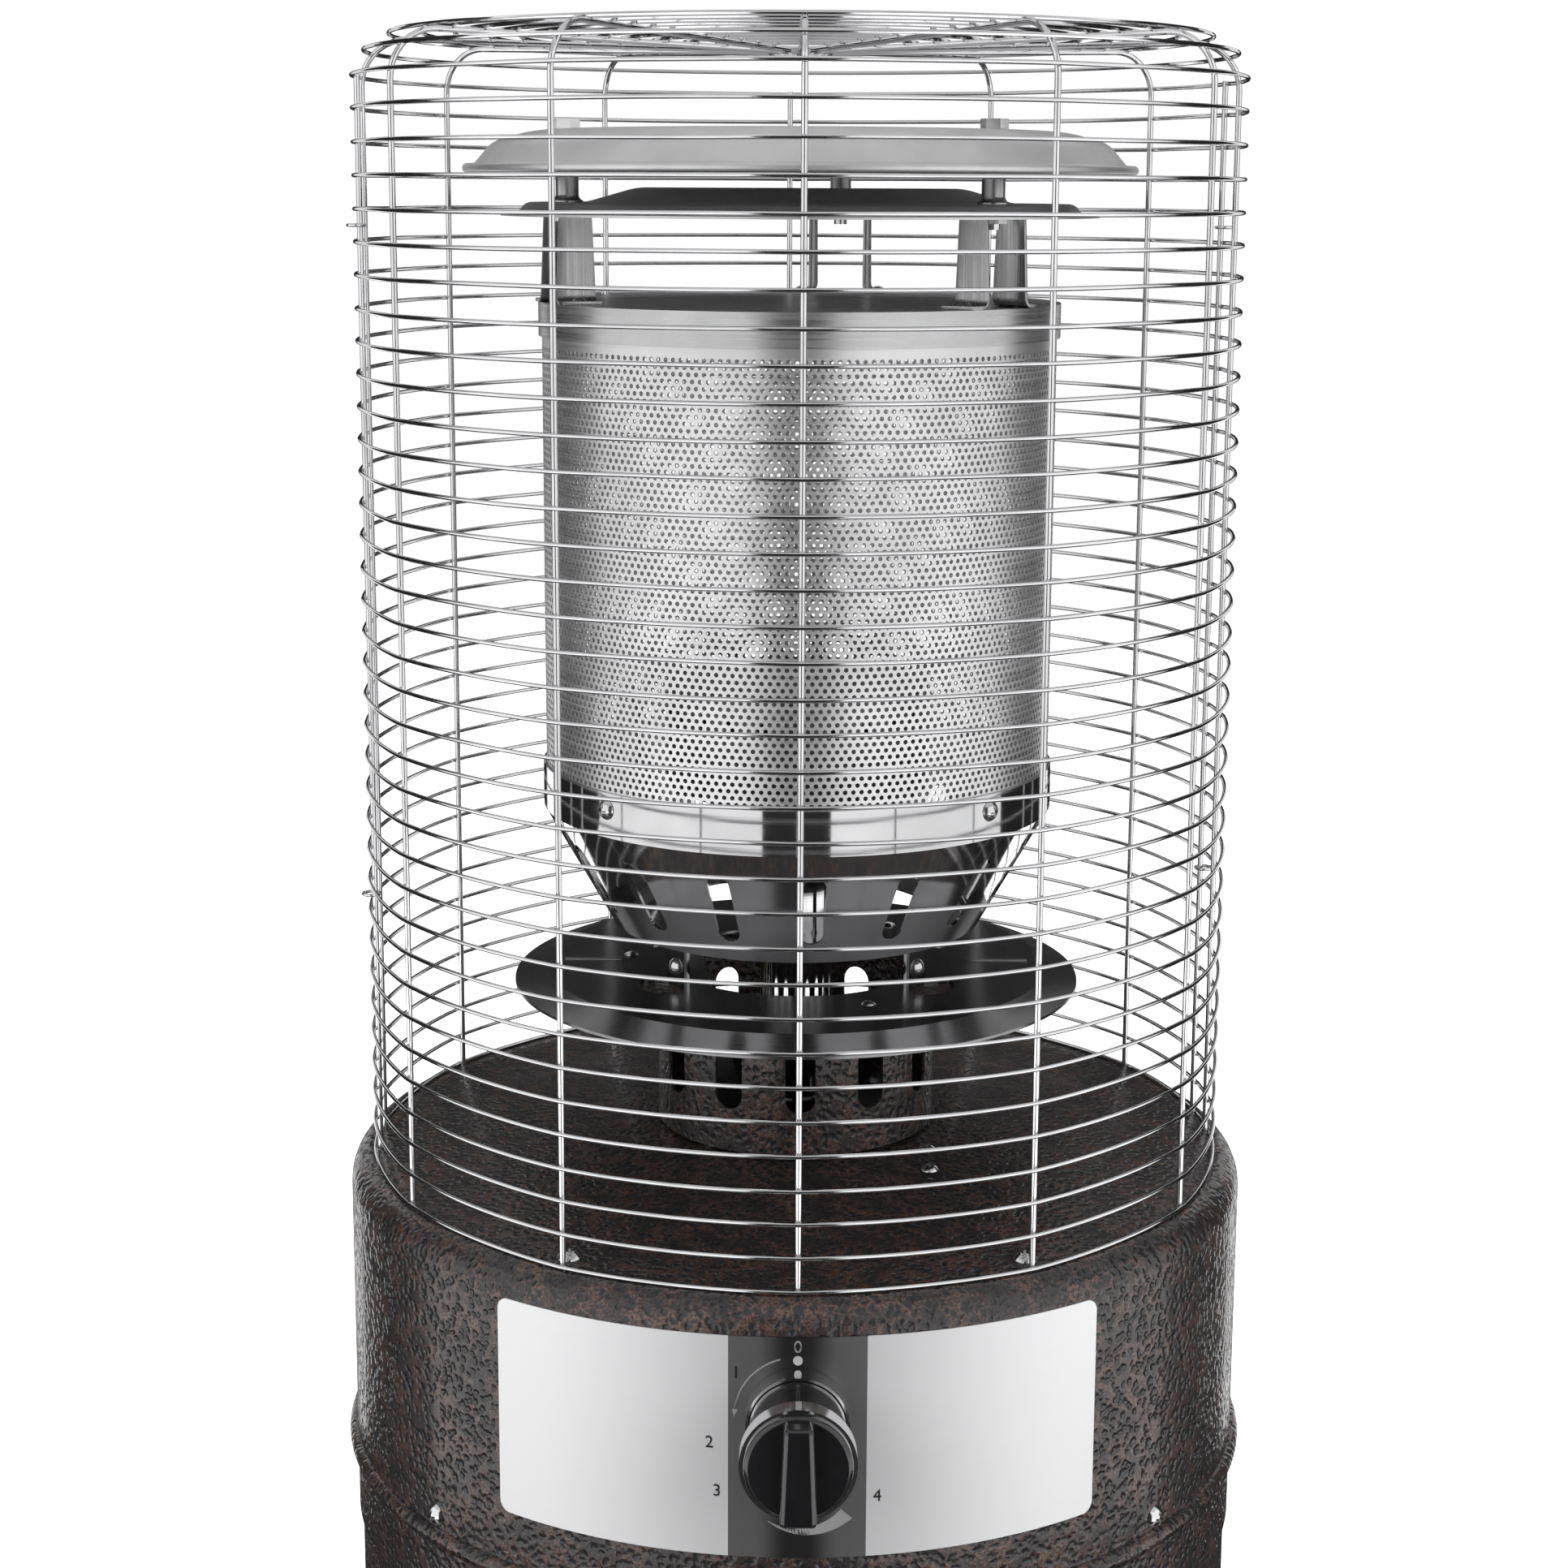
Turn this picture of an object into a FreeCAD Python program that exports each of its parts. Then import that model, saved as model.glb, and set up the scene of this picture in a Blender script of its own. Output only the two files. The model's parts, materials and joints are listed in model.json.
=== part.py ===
"""Gas patio heater: round base, bottle housing with a door, control housing, burner and wire guard.

Millimetres, +Z up. The origin is on the ground under the heater's centre axis, and the control knob
faces -Y. An azimuth is counted from the front (-Y) towards +X, in degrees.
"""
import FreeCAD
import Part
import math
import os

V = FreeCAD.Vector

# Clearances shared by mating pieces
SEAT_GAP = 0.1
RUNNING_FIT = 0.05
SLEEVE_GAP = 0.3
HOLE_CLEARANCE = 0.2
CUT = 1.0
WIRE_SECTION_SIDES = 8

# Base and its feet
BASE_RADIUS = 218.0
BASE_THICKNESS = 4.0
BASE_EDGE_ROUND = 1.5
FOOT_COUNT = 4
FOOT_RADIUS = 15.0
FOOT_HEIGHT = 15.0
FOOT_TAPER = 3.0
FOOT_EDGE_INSET = 22.0
FOOT_FIRST_AZIMUTH = 45.0
FOOT_SCREW_RADIUS = 3.0
FOOT_SCREW_RECESS = 6.0
FOOT_WELL_RADIUS = 7.0

# Bottle compartment
SHEET = 1.2
TANK_FLANGE_WIDTH = 11.0
DECK_HEIGHT = 736.0
DECK_THICKNESS = 2.0
DECK_RIM_HEIGHT = 18.0
HOSE_HOLE_RADIUS = 45.0
TANK_TOP_GAP = 3.0
POST_RADIUS = 8.0
POST_WALL_GAP = 13.3
POST_AZIMUTHS = (-112.0, -54.0, 54.0, 112.0)
POST_SCREW_RADIUS = 3.0
POST_SCREW_LENGTH = 16.0
PAN_HEAD_RATIO = 2.0

# Door at the rear of the bottle compartment
DOOR_HALF_ANGLE = 50.0
DOOR_SILL = 60.0
DOOR_HEIGHT = 570.0
DOOR_GAP = 1.0
HINGE_LENGTH = 60.0
HINGE_INSET = 70.0
HINGE_BARREL_RADIUS = 3.0
HINGE_PIN_RADIUS = 1.5
HINGE_LEAF_ANGLE = 9.0
HINGE_LEAF_THICKNESS = 1.2
HINGE_KNUCKLE_GAP = 0.3
HINGE_PIN_HEAD_HEIGHT = 1.5
PULL_RADIUS = 11.0
PULL_NECK_RADIUS = 5.0
PULL_NECK_LENGTH = 12.0
PULL_HEAD_LENGTH = 8.0
PULL_EDGE_INSET = 9.0
CATCH_WIDTH = 24.0
CATCH_DEPTH = 8.0
CATCH_HEIGHT = 40.0

# Control housing
HOUSING_RADIUS = 200.0
HOUSING_OVERLAP = 28.0
HOUSING_SIDE_HEIGHT = 153.0
SHOULDER_RADIUS = 12.0
SHOULDER_STEPS = 5
CROWN_RISE = 10.5
CROWN_HOLE_RADIUS = 44.0
BEAD_RADIUS = 4.0
BEAD_PROUD = 3.6
BEAD_HEIGHT = 35.0
SIDE_SCREW_HEIGHT = 44.0
SIDE_SCREW_AZIMUTHS = (-131.5, -48.5, 48.5, 131.5)
TOP_SCREW_AZIMUTHS = (-149.0, -31.0, 31.0, 149.0)
TOP_SCREW_INSET = 10.0
HOUSING_SCREW_RADIUS = 2.5
HOUSING_SCREW_LENGTH = 8.0
STRUT_WIDTH = 24.0
STRUT_THICKNESS = 2.0
STRUT_FLANGE_LENGTH = 14.0

# Label plate and control knob
LABEL_THICKNESS = 0.5
LABEL_HALF_ANGLE = 36.7
LABEL_ABOVE_KNOB = 32.5
LABEL_BELOW_KNOB = 59.0
LABEL_CORNER_RADIUS = 5.0
KNOB_HEIGHT = 120.0
KNOB_HOLE_RADIUS = 12.5
BEZEL_RADIUS = 20.2
BEZEL_WALL = 1.0
BEZEL_LENGTH = 9.5
KNOB_TRAVEL = 4.0
KNOB_BARREL_CLEARANCE = 0.35
KNOB_BARREL_LENGTH = 27.0
KNOB_WALL = 2.0
KNOB_HUB_RADIUS = 10.0
KNOB_BORE_DEPTH = 24.0
KNOB_HEAD_RADIUS = 20.6
KNOB_HEAD_LENGTH = 12.0
KNOB_RING_WALL = 1.6
KNOB_RING_LENGTH = 8.0
GRIP_LENGTH = 39.0
GRIP_WIDTH = 11.0
GRIP_FLARE = 3.0
GRIP_HEIGHT = 9.0
GRIP_ROUND = 2.0

# Gas valve behind the knob
STEM_RADIUS = 4.0
VALVE_FRONT_INSET = 24.0
VALVE_BODY_RADIUS = 17.0
VALVE_BODY_LENGTH = 48.0
VALVE_CHAMBER_DEPTH = 18.0
PUSH_PIN_LENGTH = 8.0
PUSH_PIN_RADIUS = 3.0
VALVE_BRACKET_WIDTH = 76.0
VALVE_BRACKET_HEIGHT = 48.0
VALVE_BRACKET_THICKNESS = 2.0
VALVE_SCREW_SPACING = 28.0
VALVE_SCREW_RADIUS = 2.0
VALVE_SCREW_LENGTH = 10.0
SPRING_RADIUS = 8.5
SPRING_WIRE_RADIUS = 0.6
SPRING_TURNS = 6
INLET_RADIUS = 6.5
INLET_BORE_RADIUS = 3.5
INLET_LENGTH = 26.0
INLET_HEX_WIDTH = 17.0
INLET_HEX_LENGTH = 9.0

# Gas lines
GAS_PIPE_RADIUS = 4.0
GAS_PIPE_BEND = 14.0
GAS_PIPE_DROP = 18.0
PILOT_PIPE_RADIUS = 2.0
LEAD_RADIUS = 1.2
PILOT_LINE_BEND = 12.0
PILOT_LINE_SPACING = 6.0
PILOT_LINE_PORT_X = 10.0
GROMMET_GAP = 0.5

# Neck between the control housing and the heat shield
NECK_RADIUS = 62.0
NECK_SHEET = 1.2
NECK_HEIGHT = 69.3
NECK_SLOT_COUNT = 12
NECK_SLOT_FIRST_AZIMUTH = 1.6
NECK_SLOT_WIDTH = 13.0
NECK_SLOT_BOTTOM = 19.0
NECK_SLOT_TOP = 52.0
NECK_FOOT_WIDTH = 15.0
NECK_TOP_FLANGE_WIDTH = 18.0
NECK_SCREW_COUNT = 4
NECK_SCREW_FIRST_AZIMUTH = 45.0
NECK_SCREW_RADIUS = 2.0
NECK_SCREW_LENGTH = 6.0

# Burner
CROSS_PLATE_WIDTH = 34.0
CROSS_PLATE_THICKNESS = 2.0
INJECTOR_RADIUS = 6.0
INJECTOR_THREAD_RADIUS = 4.0
INJECTOR_LENGTH = 26.0
INJECTOR_NOSE_RADIUS = 3.0
INJECTOR_NOSE_LENGTH = 8.0
INJECTOR_BORE_RADIUS = 0.5
MIXING_TUBE_RADIUS = 16.0
MIXING_TUBE_WALL = 1.2
MIXING_TUBE_AIR_HOLES = 4
AIR_HOLE_RADIUS = 6.0
AIR_HOLE_HEIGHT = 14.0
BURNER_RADIUS = 58.0
BURNER_HEIGHT = 46.0
BURNER_WALL = 1.5
BURNER_PORT_COUNT = 24
BURNER_PORT_RADIUS = 2.5
BURNER_ABOVE_BOWL = 60.0

# Pilot assembly beside the burner
PILOT_STRIP_WIDTH = 12.4
PILOT_STRIP_THICKNESS = 1.5
PILOT_STRIP_FOOT_X = 28.0
PILOT_STRIP_TOP_X = 71.0
PILOT_STRIP_Y = 14.0
PILOT_SHELF_DEPTH = 32.0
PILOT_SHELF_WIDTH = 22.0
PILOT_BURNER_RADIUS = 4.5
PILOT_BURNER_LENGTH = 24.0
THERMOCOUPLE_RADIUS = 2.6
THERMOCOUPLE_LENGTH = 30.0
ELECTRODE_RADIUS = 3.2
ELECTRODE_LENGTH = 22.0
ELECTRODE_WIRE_RADIUS = 0.8
ELECTRODE_WIRE_LENGTH = 10.0
PILOT_SPACING = 9.5

# Tilt switch under the crown of the control housing
TILT_SWITCH_X = 57.5
TILT_SWITCH_Y = -58.0
TILT_SWITCH_LENGTH = 40.0
TILT_SWITCH_WIDTH = 18.0
TILT_SWITCH_HEIGHT = 16.0
TILT_SCREW_SPACING = 22.0
TILT_SCREW_RADIUS = 2.0
TILT_SCREW_LENGTH = 7.0

# Heat shield dish
DISH_RADIUS = 126.0
DISH_SHEET = 1.2
DISH_FLAT_RADIUS = 111.0
DISH_DROP = 5.0
DISH_HOLE_RADIUS = 57.0
DISH_RIB_AZIMUTHS = (-90.0, 90.0)
DISH_RIB_INNER = 74.0
DISH_RIB_OUTER = 104.0
DISH_RIB_RADIUS = 1.6
RIVET_COUNT = 3
RIVET_CIRCLE_RADIUS = 75.0
RIVET_FIRST_AZIMUTH = 24.0
RIVET_RADIUS = 1.6
RIVET_HEAD_RADIUS = 3.2
RIVET_TAIL_HEIGHT = 1.0

# Tabs of the dish that carry the bowl
TAB_AZIMUTHS = (-54.0, 54.0, 180.0)
TAB_RADIUS = 64.0
TAB_WIDTH = 13.0
TAB_HEIGHT = 16.0
TAB_SHEET = 1.2
TAB_WINDOW_LENGTH = 17.0
TAB_WINDOW_WIDTH = 26.0
TAB_SCREW_HEIGHT = 7.5
TAB_SCREW_RADIUS = 2.0
TAB_SCREW_HEAD_RADIUS = 4.2
TAB_SCREW_LENGTH = 6.0
BOWL_FOOT_SHEET = 1.5
BOWL_FOOT_FLANGE = 17.0

# Polished bowl under the emitter
BOWL_LIFT = 22.0
BOWL_SHEET = 1.0
BOWL_BOTTOM_RADIUS = 82.0
BOWL_CONE_HEIGHT = 53.0
BOWL_BAND_HEIGHT = 19.0
BOWL_FLANGE_WIDTH = 20.0
BOWL_SLOT_COUNT = 16
BOWL_SLOT_FIRST_AZIMUTH = 3.8
BOWL_SLOT_WIDTH = 9.5
BOWL_SLOT_BOTTOM = 9.5
BOWL_SLOT_TOP = 42.0
BOWL_SCREW_AZIMUTHS = (-134.5, -45.5, 45.5, 134.5)
BOWL_SCREW_DROP = 7.0
BOWL_SCREW_RADIUS = 2.0
BOWL_SCREW_HEAD_RADIUS = 4.4
BOWL_SCREW_LENGTH = 5.0

# Emitter screen and its lid
SCREEN_RADIUS = 111.0
SCREEN_SHEET = 0.8
SCREEN_HEIGHT = 216.2
SCREEN_SEAT = 17.0
LID_SHEET = 1.2
LID_SKIRT_HEIGHT = 14.5

# Straps between the lid and the reflectors
STRAP_AZIMUTHS = (-71.0, 49.0, 169.0)
STRAP_CIRCLE_RADIUS = 103.0
STRAP_HEIGHT = 40.5
STRAP_SHEET = 1.5
STRAP_TOP_WIDTH = 13.5
STRAP_FOOT_WIDTH = 17.0
STRAP_LEG_SPACING = 27.0
STRAP_FOOT_LENGTH = 9.0

# Reflectors, spacers and bolts
REFLECTOR_SHEET = 1.0
LOWER_REFLECTOR_RADIUS = 128.0
LOWER_REFLECTOR_RIM_DROP = 4.7
LOWER_PLATEAU_RADIUS = 117.0
LOWER_STEP_OUTER_RADIUS = 92.0
LOWER_STEP_INNER_RADIUS = 70.0
LOWER_STEP_RISE = 6.3
REFLECTOR_SPACING = 29.0
UPPER_REFLECTOR_RADIUS = 144.0
UPPER_REFLECTOR_RIM_DROP = 16.0
UPPER_FLAT_RADIUS = 112.0
UPPER_SHOULDER_RADIUS = 131.0
UPPER_SHOULDER_DROP = 5.0
UPPER_ROLL_RADIUS = 2.0
SPACER_RADIUS = 4.8
SPACER_BASE_RADIUS = 6.0
SPACER_BASE_HEIGHT = 2.0
BOLT_RADIUS = 3.0
BOLT_HEAD_WIDTH = 10.0
BOLT_HEAD_HEIGHT = 4.0
NUT_HEIGHT = 5.0
BOLT_END = 2.5

# Wire guard
GUARD_WIRE_RADIUS = 1.25
GUARD_RING_WIRE_RADIUS = 0.9
GUARD_EDGE_INSET = 13.0
GUARD_UPRIGHT_COUNT = 12
GUARD_SEAM_AZIMUTHS = (-82.0, 98.0)
GUARD_REAR_SPREAD = 1.1
GUARD_RING_COUNT = 35
GUARD_RING_PITCH = 13.776
GUARD_BEND_RADIUS = 20.0
GUARD_TOP_ABOVE_RING = 15.6
GUARD_TOP_DIP_ANGLE = 1.6
GUARD_TOP_RING_COUNT = 12
GUARD_TOP_RING_INSET = 13.5
GUARD_HUB_RING_GAP = 7.964
GUARD_SHOULDER_RING_ANGLE = 40.0
GUARD_HUB_RADIUS = 14.0
GUARD_HUB_HOLE_RADIUS = 5.0
GUARD_HUB_THICKNESS = 1.5
GUARD_WIRE_END_RADIUS = 10.5
GUARD_FOOT_LENGTH = 4.0
GUARD_TIE_LEVELS = (8, 29)
GUARD_TIE_WIRE_RADIUS = 0.7

# Heights and radii that follow from the values above
BASE_TOP = FOOT_HEIGHT + BASE_THICKNESS
FOOT_CIRCLE_RADIUS = BASE_RADIUS - FOOT_EDGE_INSET
DECK_UNDERSIDE = BASE_TOP + DECK_HEIGHT
DECK_TOP = DECK_UNDERSIDE + DECK_THICKNESS
TANK_TOP = DECK_UNDERSIDE - TANK_TOP_GAP
TANK_HOUSING_RADIUS = HOUSING_RADIUS - SHEET - SLEEVE_GAP
TANK_INNER_RADIUS = TANK_HOUSING_RADIUS - SHEET
POST_CIRCLE_RADIUS = TANK_INNER_RADIUS - POST_WALL_GAP - POST_RADIUS
DOOR_BOTTOM = BASE_TOP + DOOR_SILL
DOOR_TOP = DOOR_BOTTOM + DOOR_HEIGHT
HOUSING_BOTTOM = TANK_TOP - HOUSING_OVERLAP
HOUSING_INNER_RADIUS = HOUSING_RADIUS - SHEET
SHOULDER_Z = HOUSING_BOTTOM + HOUSING_SIDE_HEIGHT
CROWN_EDGE_RADIUS = HOUSING_RADIUS - SHOULDER_RADIUS
TOP_SCREW_CIRCLE_RADIUS = CROWN_EDGE_RADIUS - TOP_SCREW_INSET
CROWN_EDGE_Z = SHOULDER_Z + SHOULDER_RADIUS
CROWN_Z = CROWN_EDGE_Z + CROWN_RISE
BEAD_Z = HOUSING_BOTTOM + BEAD_HEIGHT
SIDE_SCREW_Z = HOUSING_BOTTOM + SIDE_SCREW_HEIGHT
DECK_RIM_RADIUS = HOUSING_INNER_RADIUS - SLEEVE_GAP
KNOB_Z = HOUSING_BOTTOM + KNOB_HEIGHT
LABEL_OUTER_RADIUS = HOUSING_RADIUS + SEAT_GAP + LABEL_THICKNESS
BEZEL_BACK = LABEL_OUTER_RADIUS + SEAT_GAP
BEZEL_FRONT = BEZEL_BACK + BEZEL_LENGTH
BEZEL_INNER_RADIUS = BEZEL_RADIUS - BEZEL_WALL
KNOB_BARREL_RADIUS = BEZEL_INNER_RADIUS - KNOB_BARREL_CLEARANCE
KNOB_BACK = BEZEL_BACK + KNOB_TRAVEL + 2 * CUT
KNOB_HEAD_BACK = KNOB_BACK + KNOB_BARREL_LENGTH
KNOB_FACE = KNOB_HEAD_BACK + KNOB_HEAD_LENGTH
VALVE_FRONT = HOUSING_RADIUS - VALVE_FRONT_INSET
VALVE_BACK = VALVE_FRONT - VALVE_BODY_LENGTH
VALVE_CHAMBER_BACK = VALVE_FRONT - VALVE_CHAMBER_DEPTH
STEM_BORE_RADIUS = STEM_RADIUS + RUNNING_FIT
NECK_BASE_Z = CROWN_Z
NECK_TOP_Z = NECK_BASE_Z + NECK_HEIGHT
DISH_TOP_Z = NECK_TOP_Z + SEAT_GAP + DISH_SHEET
CROSS_PLATE_Z = NECK_BASE_Z + NECK_SHEET + SEAT_GAP
CROSS_PLATE_TOP = CROSS_PLATE_Z + CROSS_PLATE_THICKNESS
BOWL_BOTTOM_Z = DISH_TOP_Z + BOWL_LIFT
BOWL_BAND_Z = BOWL_BOTTOM_Z + BOWL_CONE_HEIGHT
BOWL_TOP_Z = BOWL_BAND_Z + BOWL_BAND_HEIGHT
BOWL_BAND_RADIUS = SCREEN_RADIUS + SLEEVE_GAP + BOWL_SHEET
SCREEN_BOTTOM_Z = BOWL_TOP_Z - SCREEN_SEAT
SCREEN_TOP_Z = SCREEN_BOTTOM_Z + SCREEN_HEIGHT
LID_RADIUS = SCREEN_RADIUS + SLEEVE_GAP + LID_SHEET
LID_TOP_Z = SCREEN_TOP_Z + SEAT_GAP + LID_SHEET
BURNER_BASE_Z = BOWL_BOTTOM_Z + BURNER_ABOVE_BOWL
STRAP_TOP_Z = LID_TOP_Z + SEAT_GAP + STRAP_HEIGHT
LOWER_REFLECTOR_Z = STRAP_TOP_Z + SEAT_GAP + REFLECTOR_SHEET
UPPER_REFLECTOR_Z = LOWER_REFLECTOR_Z + REFLECTOR_SPACING + REFLECTOR_SHEET
GUARD_UPRIGHT_CIRCLE_RADIUS = HOUSING_RADIUS - GUARD_EDGE_INSET
GUARD_LAY = GUARD_WIRE_RADIUS + GUARD_RING_WIRE_RADIUS + SEAT_GAP
GUARD_RING_CIRCLE_RADIUS = GUARD_UPRIGHT_CIRCLE_RADIUS + GUARD_LAY
GUARD_BOTTOM_RING_Z = CROWN_EDGE_Z + SEAT_GAP + GUARD_RING_WIRE_RADIUS
GUARD_TOP_RING_FIRST_RADIUS = GUARD_UPRIGHT_CIRCLE_RADIUS - GUARD_TOP_RING_INSET
GUARD_TOP_RING_LAST_RADIUS = GUARD_HUB_RADIUS + GUARD_HUB_RING_GAP
GUARD_TOP_RING_Z = GUARD_BOTTOM_RING_Z + GUARD_RING_PITCH * (GUARD_RING_COUNT - 1)
GUARD_TOP_Z = GUARD_TOP_RING_Z + GUARD_TOP_ABOVE_RING
GUARD_FOOT_Z = CROWN_EDGE_Z - GUARD_FOOT_LENGTH


def turned(shape, azimuth):
    """A copy of a shape built at the front, turned about the centre axis to an azimuth."""
    copy = shape.copy()
    copy.rotate(V(0, 0, 0), V(0, 0, 1), azimuth)
    return copy


def at_azimuths(shape, azimuths):
    """Copies of a shape built at the front, one per azimuth."""
    return [turned(shape, azimuth) for azimuth in azimuths]


def even_azimuths(count, first=0.0):
    """Azimuths of a regular pattern."""
    return [first + 360.0 * index / count for index in range(count)]


def moved(shape, x=0.0, y=0.0, z=0.0):
    """A shifted copy of a shape."""
    copy = shape.copy()
    copy.translate(V(x, y, z))
    return copy


def cylinder(radius, bottom, top, x=0.0, y=0.0):
    """An upright cylinder between two heights."""
    return Part.makeCylinder(radius, top - bottom, V(x, y, bottom))


def tube(outer, inner, bottom, top, x=0.0, y=0.0):
    """An upright tube between two heights."""
    return cylinder(outer, bottom, top, x, y).cut(cylinder(inner, bottom - CUT, top + CUT, x, y))


def box(x0, x1, y0, y1, z0, z1):
    """A box between two corners."""
    return Part.makeBox(x1 - x0, y1 - y0, z1 - z0, V(x0, y0, z0))


def front_cylinder(radius, inner_end, outer_end, z, x=0.0):
    """A cylinder that lies along -Y, between two distances from the centre axis."""
    return Part.makeCylinder(radius, outer_end - inner_end, V(x, -inner_end, z), V(0, -1, 0))


def shell_segment(inner, outer, bottom, top, first, last):
    """A slice of an upright tube between two azimuths."""
    wedge = Part.makeCylinder(outer, top - bottom, V(0, 0, bottom), V(0, 0, 1), last - first)
    wedge = wedge.cut(cylinder(inner, bottom - CUT, top + CUT))
    return turned(wedge, first - 90.0)


def spun(outline):
    """A solid of revolution from a closed outline of (radius, height) points and arc middles."""
    edges = []
    count = len(outline)
    for index in range(count):
        start = outline[index][-1]
        end_item = outline[(index + 1) % count]
        end = end_item[-1]
        if len(end_item) == 2:
            middle = end_item[0]
            arc = Part.Arc(V(start[0], 0, start[1]), V(middle[0], 0, middle[1]), V(end[0], 0, end[1]))
            edges.append(arc.toShape())
        else:
            edges.append(Part.makeLine(V(start[0], 0, start[1]), V(end[0], 0, end[1])))
    face = Part.Face(Part.Wire(edges))
    return face.revolve(V(0, 0, 0), V(0, 0, 1), 360)


def line_outline(points):
    """An outline of straight runs, in the form that spun() takes."""
    return [(point,) for point in points]


def wire_ring(circle_radius, wire_radius, height):
    """A level ring of wire; its section is a polygon, which keeps long thin rings light."""
    points = []
    for index in range(WIRE_SECTION_SIDES):
        turn = 2.0 * math.pi * index / WIRE_SECTION_SIDES
        side = wire_radius * math.cos(turn)
        points.append((circle_radius + side, height + wire_radius * math.sin(turn)))
    return spun(line_outline(points))


def sheet_outline(top_points, thickness):
    """A closed outline of a thin sheet that hangs below its upper line."""
    under = [(radius, height - thickness) for radius, height in reversed(top_points)]
    return line_outline(list(top_points) + under)


def prism(points, direction):
    """A straight prism of a closed polygon of vectors."""
    wire = Part.makePolygon(list(points) + [points[0]])
    return Part.Face(wire).extrude(direction)


def hexagon(width_across_flats, bottom, top):
    """An upright hexagonal bar on the Z axis."""
    corner = width_across_flats / math.sqrt(3.0)
    turn = [math.radians(60.0 * index) for index in range(6)]
    points = [V(corner * math.cos(angle), corner * math.sin(angle), bottom) for angle in turn]
    return prism(points, V(0, 0, top - bottom))


def upright_to_front(shape):
    """Turns a shape built along +Z so that it points along -Y."""
    copy = shape.copy()
    copy.rotate(V(0, 0, 0), V(1, 0, 0), 90)
    return copy


def dome(radius, height):
    """A low round head on the plane Z = 0."""
    sphere_radius = (radius * radius + height * height) / (2.0 * height)
    half = math.asin(radius / sphere_radius) / 2.0
    middle = (sphere_radius * math.sin(half), height - sphere_radius * (1.0 - math.cos(half)))
    return spun([((0.0, 0.0),), ((radius, 0.0),), (middle, (0.0, height))])


def cross_recess(head_radius, head_height):
    """The cutter for a cross recess in a screw's head."""
    arm = 0.55 * head_radius
    width = 0.16 * head_radius
    floor = 0.45 * head_height
    bar = box(-arm, arm, -width, width, floor, head_height + CUT)
    return bar.fuse(box(-width, width, -arm, arm, floor, head_height + CUT))


def screw(shank_radius, length, head_radius, recess=True):
    """A round-headed screw along Z: its head stands on Z = 0 and its shank hangs below."""
    height = 0.62 * head_radius
    head = dome(head_radius, height)
    if recess:
        head = head.cut(cross_recess(head_radius, height))
    return head.fuse(cylinder(shank_radius, -length, 0.0))


def wire_path(points, bend):
    """A path of straight runs through the points, joined by tangent arcs of one radius."""
    edges = []
    start = points[0]
    for before, corner, after in zip(points, points[1:], points[2:]):
        towards = (before - corner).normalize()
        away = (after - corner).normalize()
        half = towards.getAngle(away) / 2.0
        shorter = min((before - corner).Length, (after - corner).Length)
        radius = min(bend, 0.45 * shorter * math.tan(half))
        reach = radius / math.tan(half)
        first = corner + towards * reach
        last = corner + away * reach
        bisector = (towards + away).normalize()
        middle = corner + bisector * (radius / math.sin(half) - radius)
        edges.append(Part.makeLine(start, first))
        edges.append(Part.Arc(first, middle, last).toShape())
        start = last
    edges.append(Part.makeLine(start, points[-1]))
    return Part.Wire(edges)


def bent_rod(points, radius, bend):
    """A round rod along a bent path."""
    path = wire_path(points, bend)
    section = Part.Wire(Part.makeCircle(radius, points[0], points[1] - points[0]))
    return path.makePipeShell([section], True, True)


def group(solids):
    """Separate solids kept in one node."""
    return Part.makeCompound(solids)


def crown_slope():
    """Rise of the control housing's top for each unit of radius."""
    return CROWN_RISE / (CROWN_EDGE_RADIUS - CROWN_HOLE_RADIUS)


def crown_z(radius):
    """Height of the control housing's top surface at a radius."""
    return CROWN_EDGE_Z + (CROWN_EDGE_RADIUS - radius) * crown_slope()


def on_crown(shape):
    """Set a shape built along the centre axis square on the crown, where its front screw goes."""
    shape.rotate(V(0, 0, 0), V(1, 0, 0), math.degrees(math.atan(crown_slope())))
    return moved(shape, y=-TOP_SCREW_CIRCLE_RADIUS, z=crown_z(TOP_SCREW_CIRCLE_RADIUS) + SEAT_GAP)


def base_plate():
    plate = cylinder(BASE_RADIUS, FOOT_HEIGHT, BASE_TOP)
    rim = [edge for edge in plate.Edges if edge.Length > BASE_RADIUS and len(edge.Vertexes) == 1]
    plate = plate.makeFillet(BASE_EDGE_ROUND, rim)
    foot_hole = cylinder(FOOT_SCREW_RADIUS + HOLE_CLEARANCE, 0, BASE_TOP + CUT, y=-FOOT_CIRCLE_RADIUS)
    post_hole = cylinder(POST_SCREW_RADIUS + HOLE_CLEARANCE, 0, BASE_TOP + CUT, y=-POST_CIRCLE_RADIUS)
    holes = at_azimuths(foot_hole, even_azimuths(FOOT_COUNT, FOOT_FIRST_AZIMUTH))
    holes += at_azimuths(post_hole, POST_AZIMUTHS)
    return plate.cut(group(holes))


def base_feet():
    foot = Part.makeCone(FOOT_RADIUS - FOOT_TAPER, FOOT_RADIUS, FOOT_HEIGHT - SEAT_GAP, V(0, 0, 0))
    foot = foot.cut(cylinder(FOOT_SCREW_RADIUS + HOLE_CLEARANCE, -CUT, FOOT_HEIGHT))
    foot = foot.cut(cylinder(FOOT_WELL_RADIUS, -CUT, FOOT_SCREW_RECESS))
    foot = moved(foot, y=-FOOT_CIRCLE_RADIUS)
    return group(at_azimuths(foot, even_azimuths(FOOT_COUNT, FOOT_FIRST_AZIMUTH)))


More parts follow.
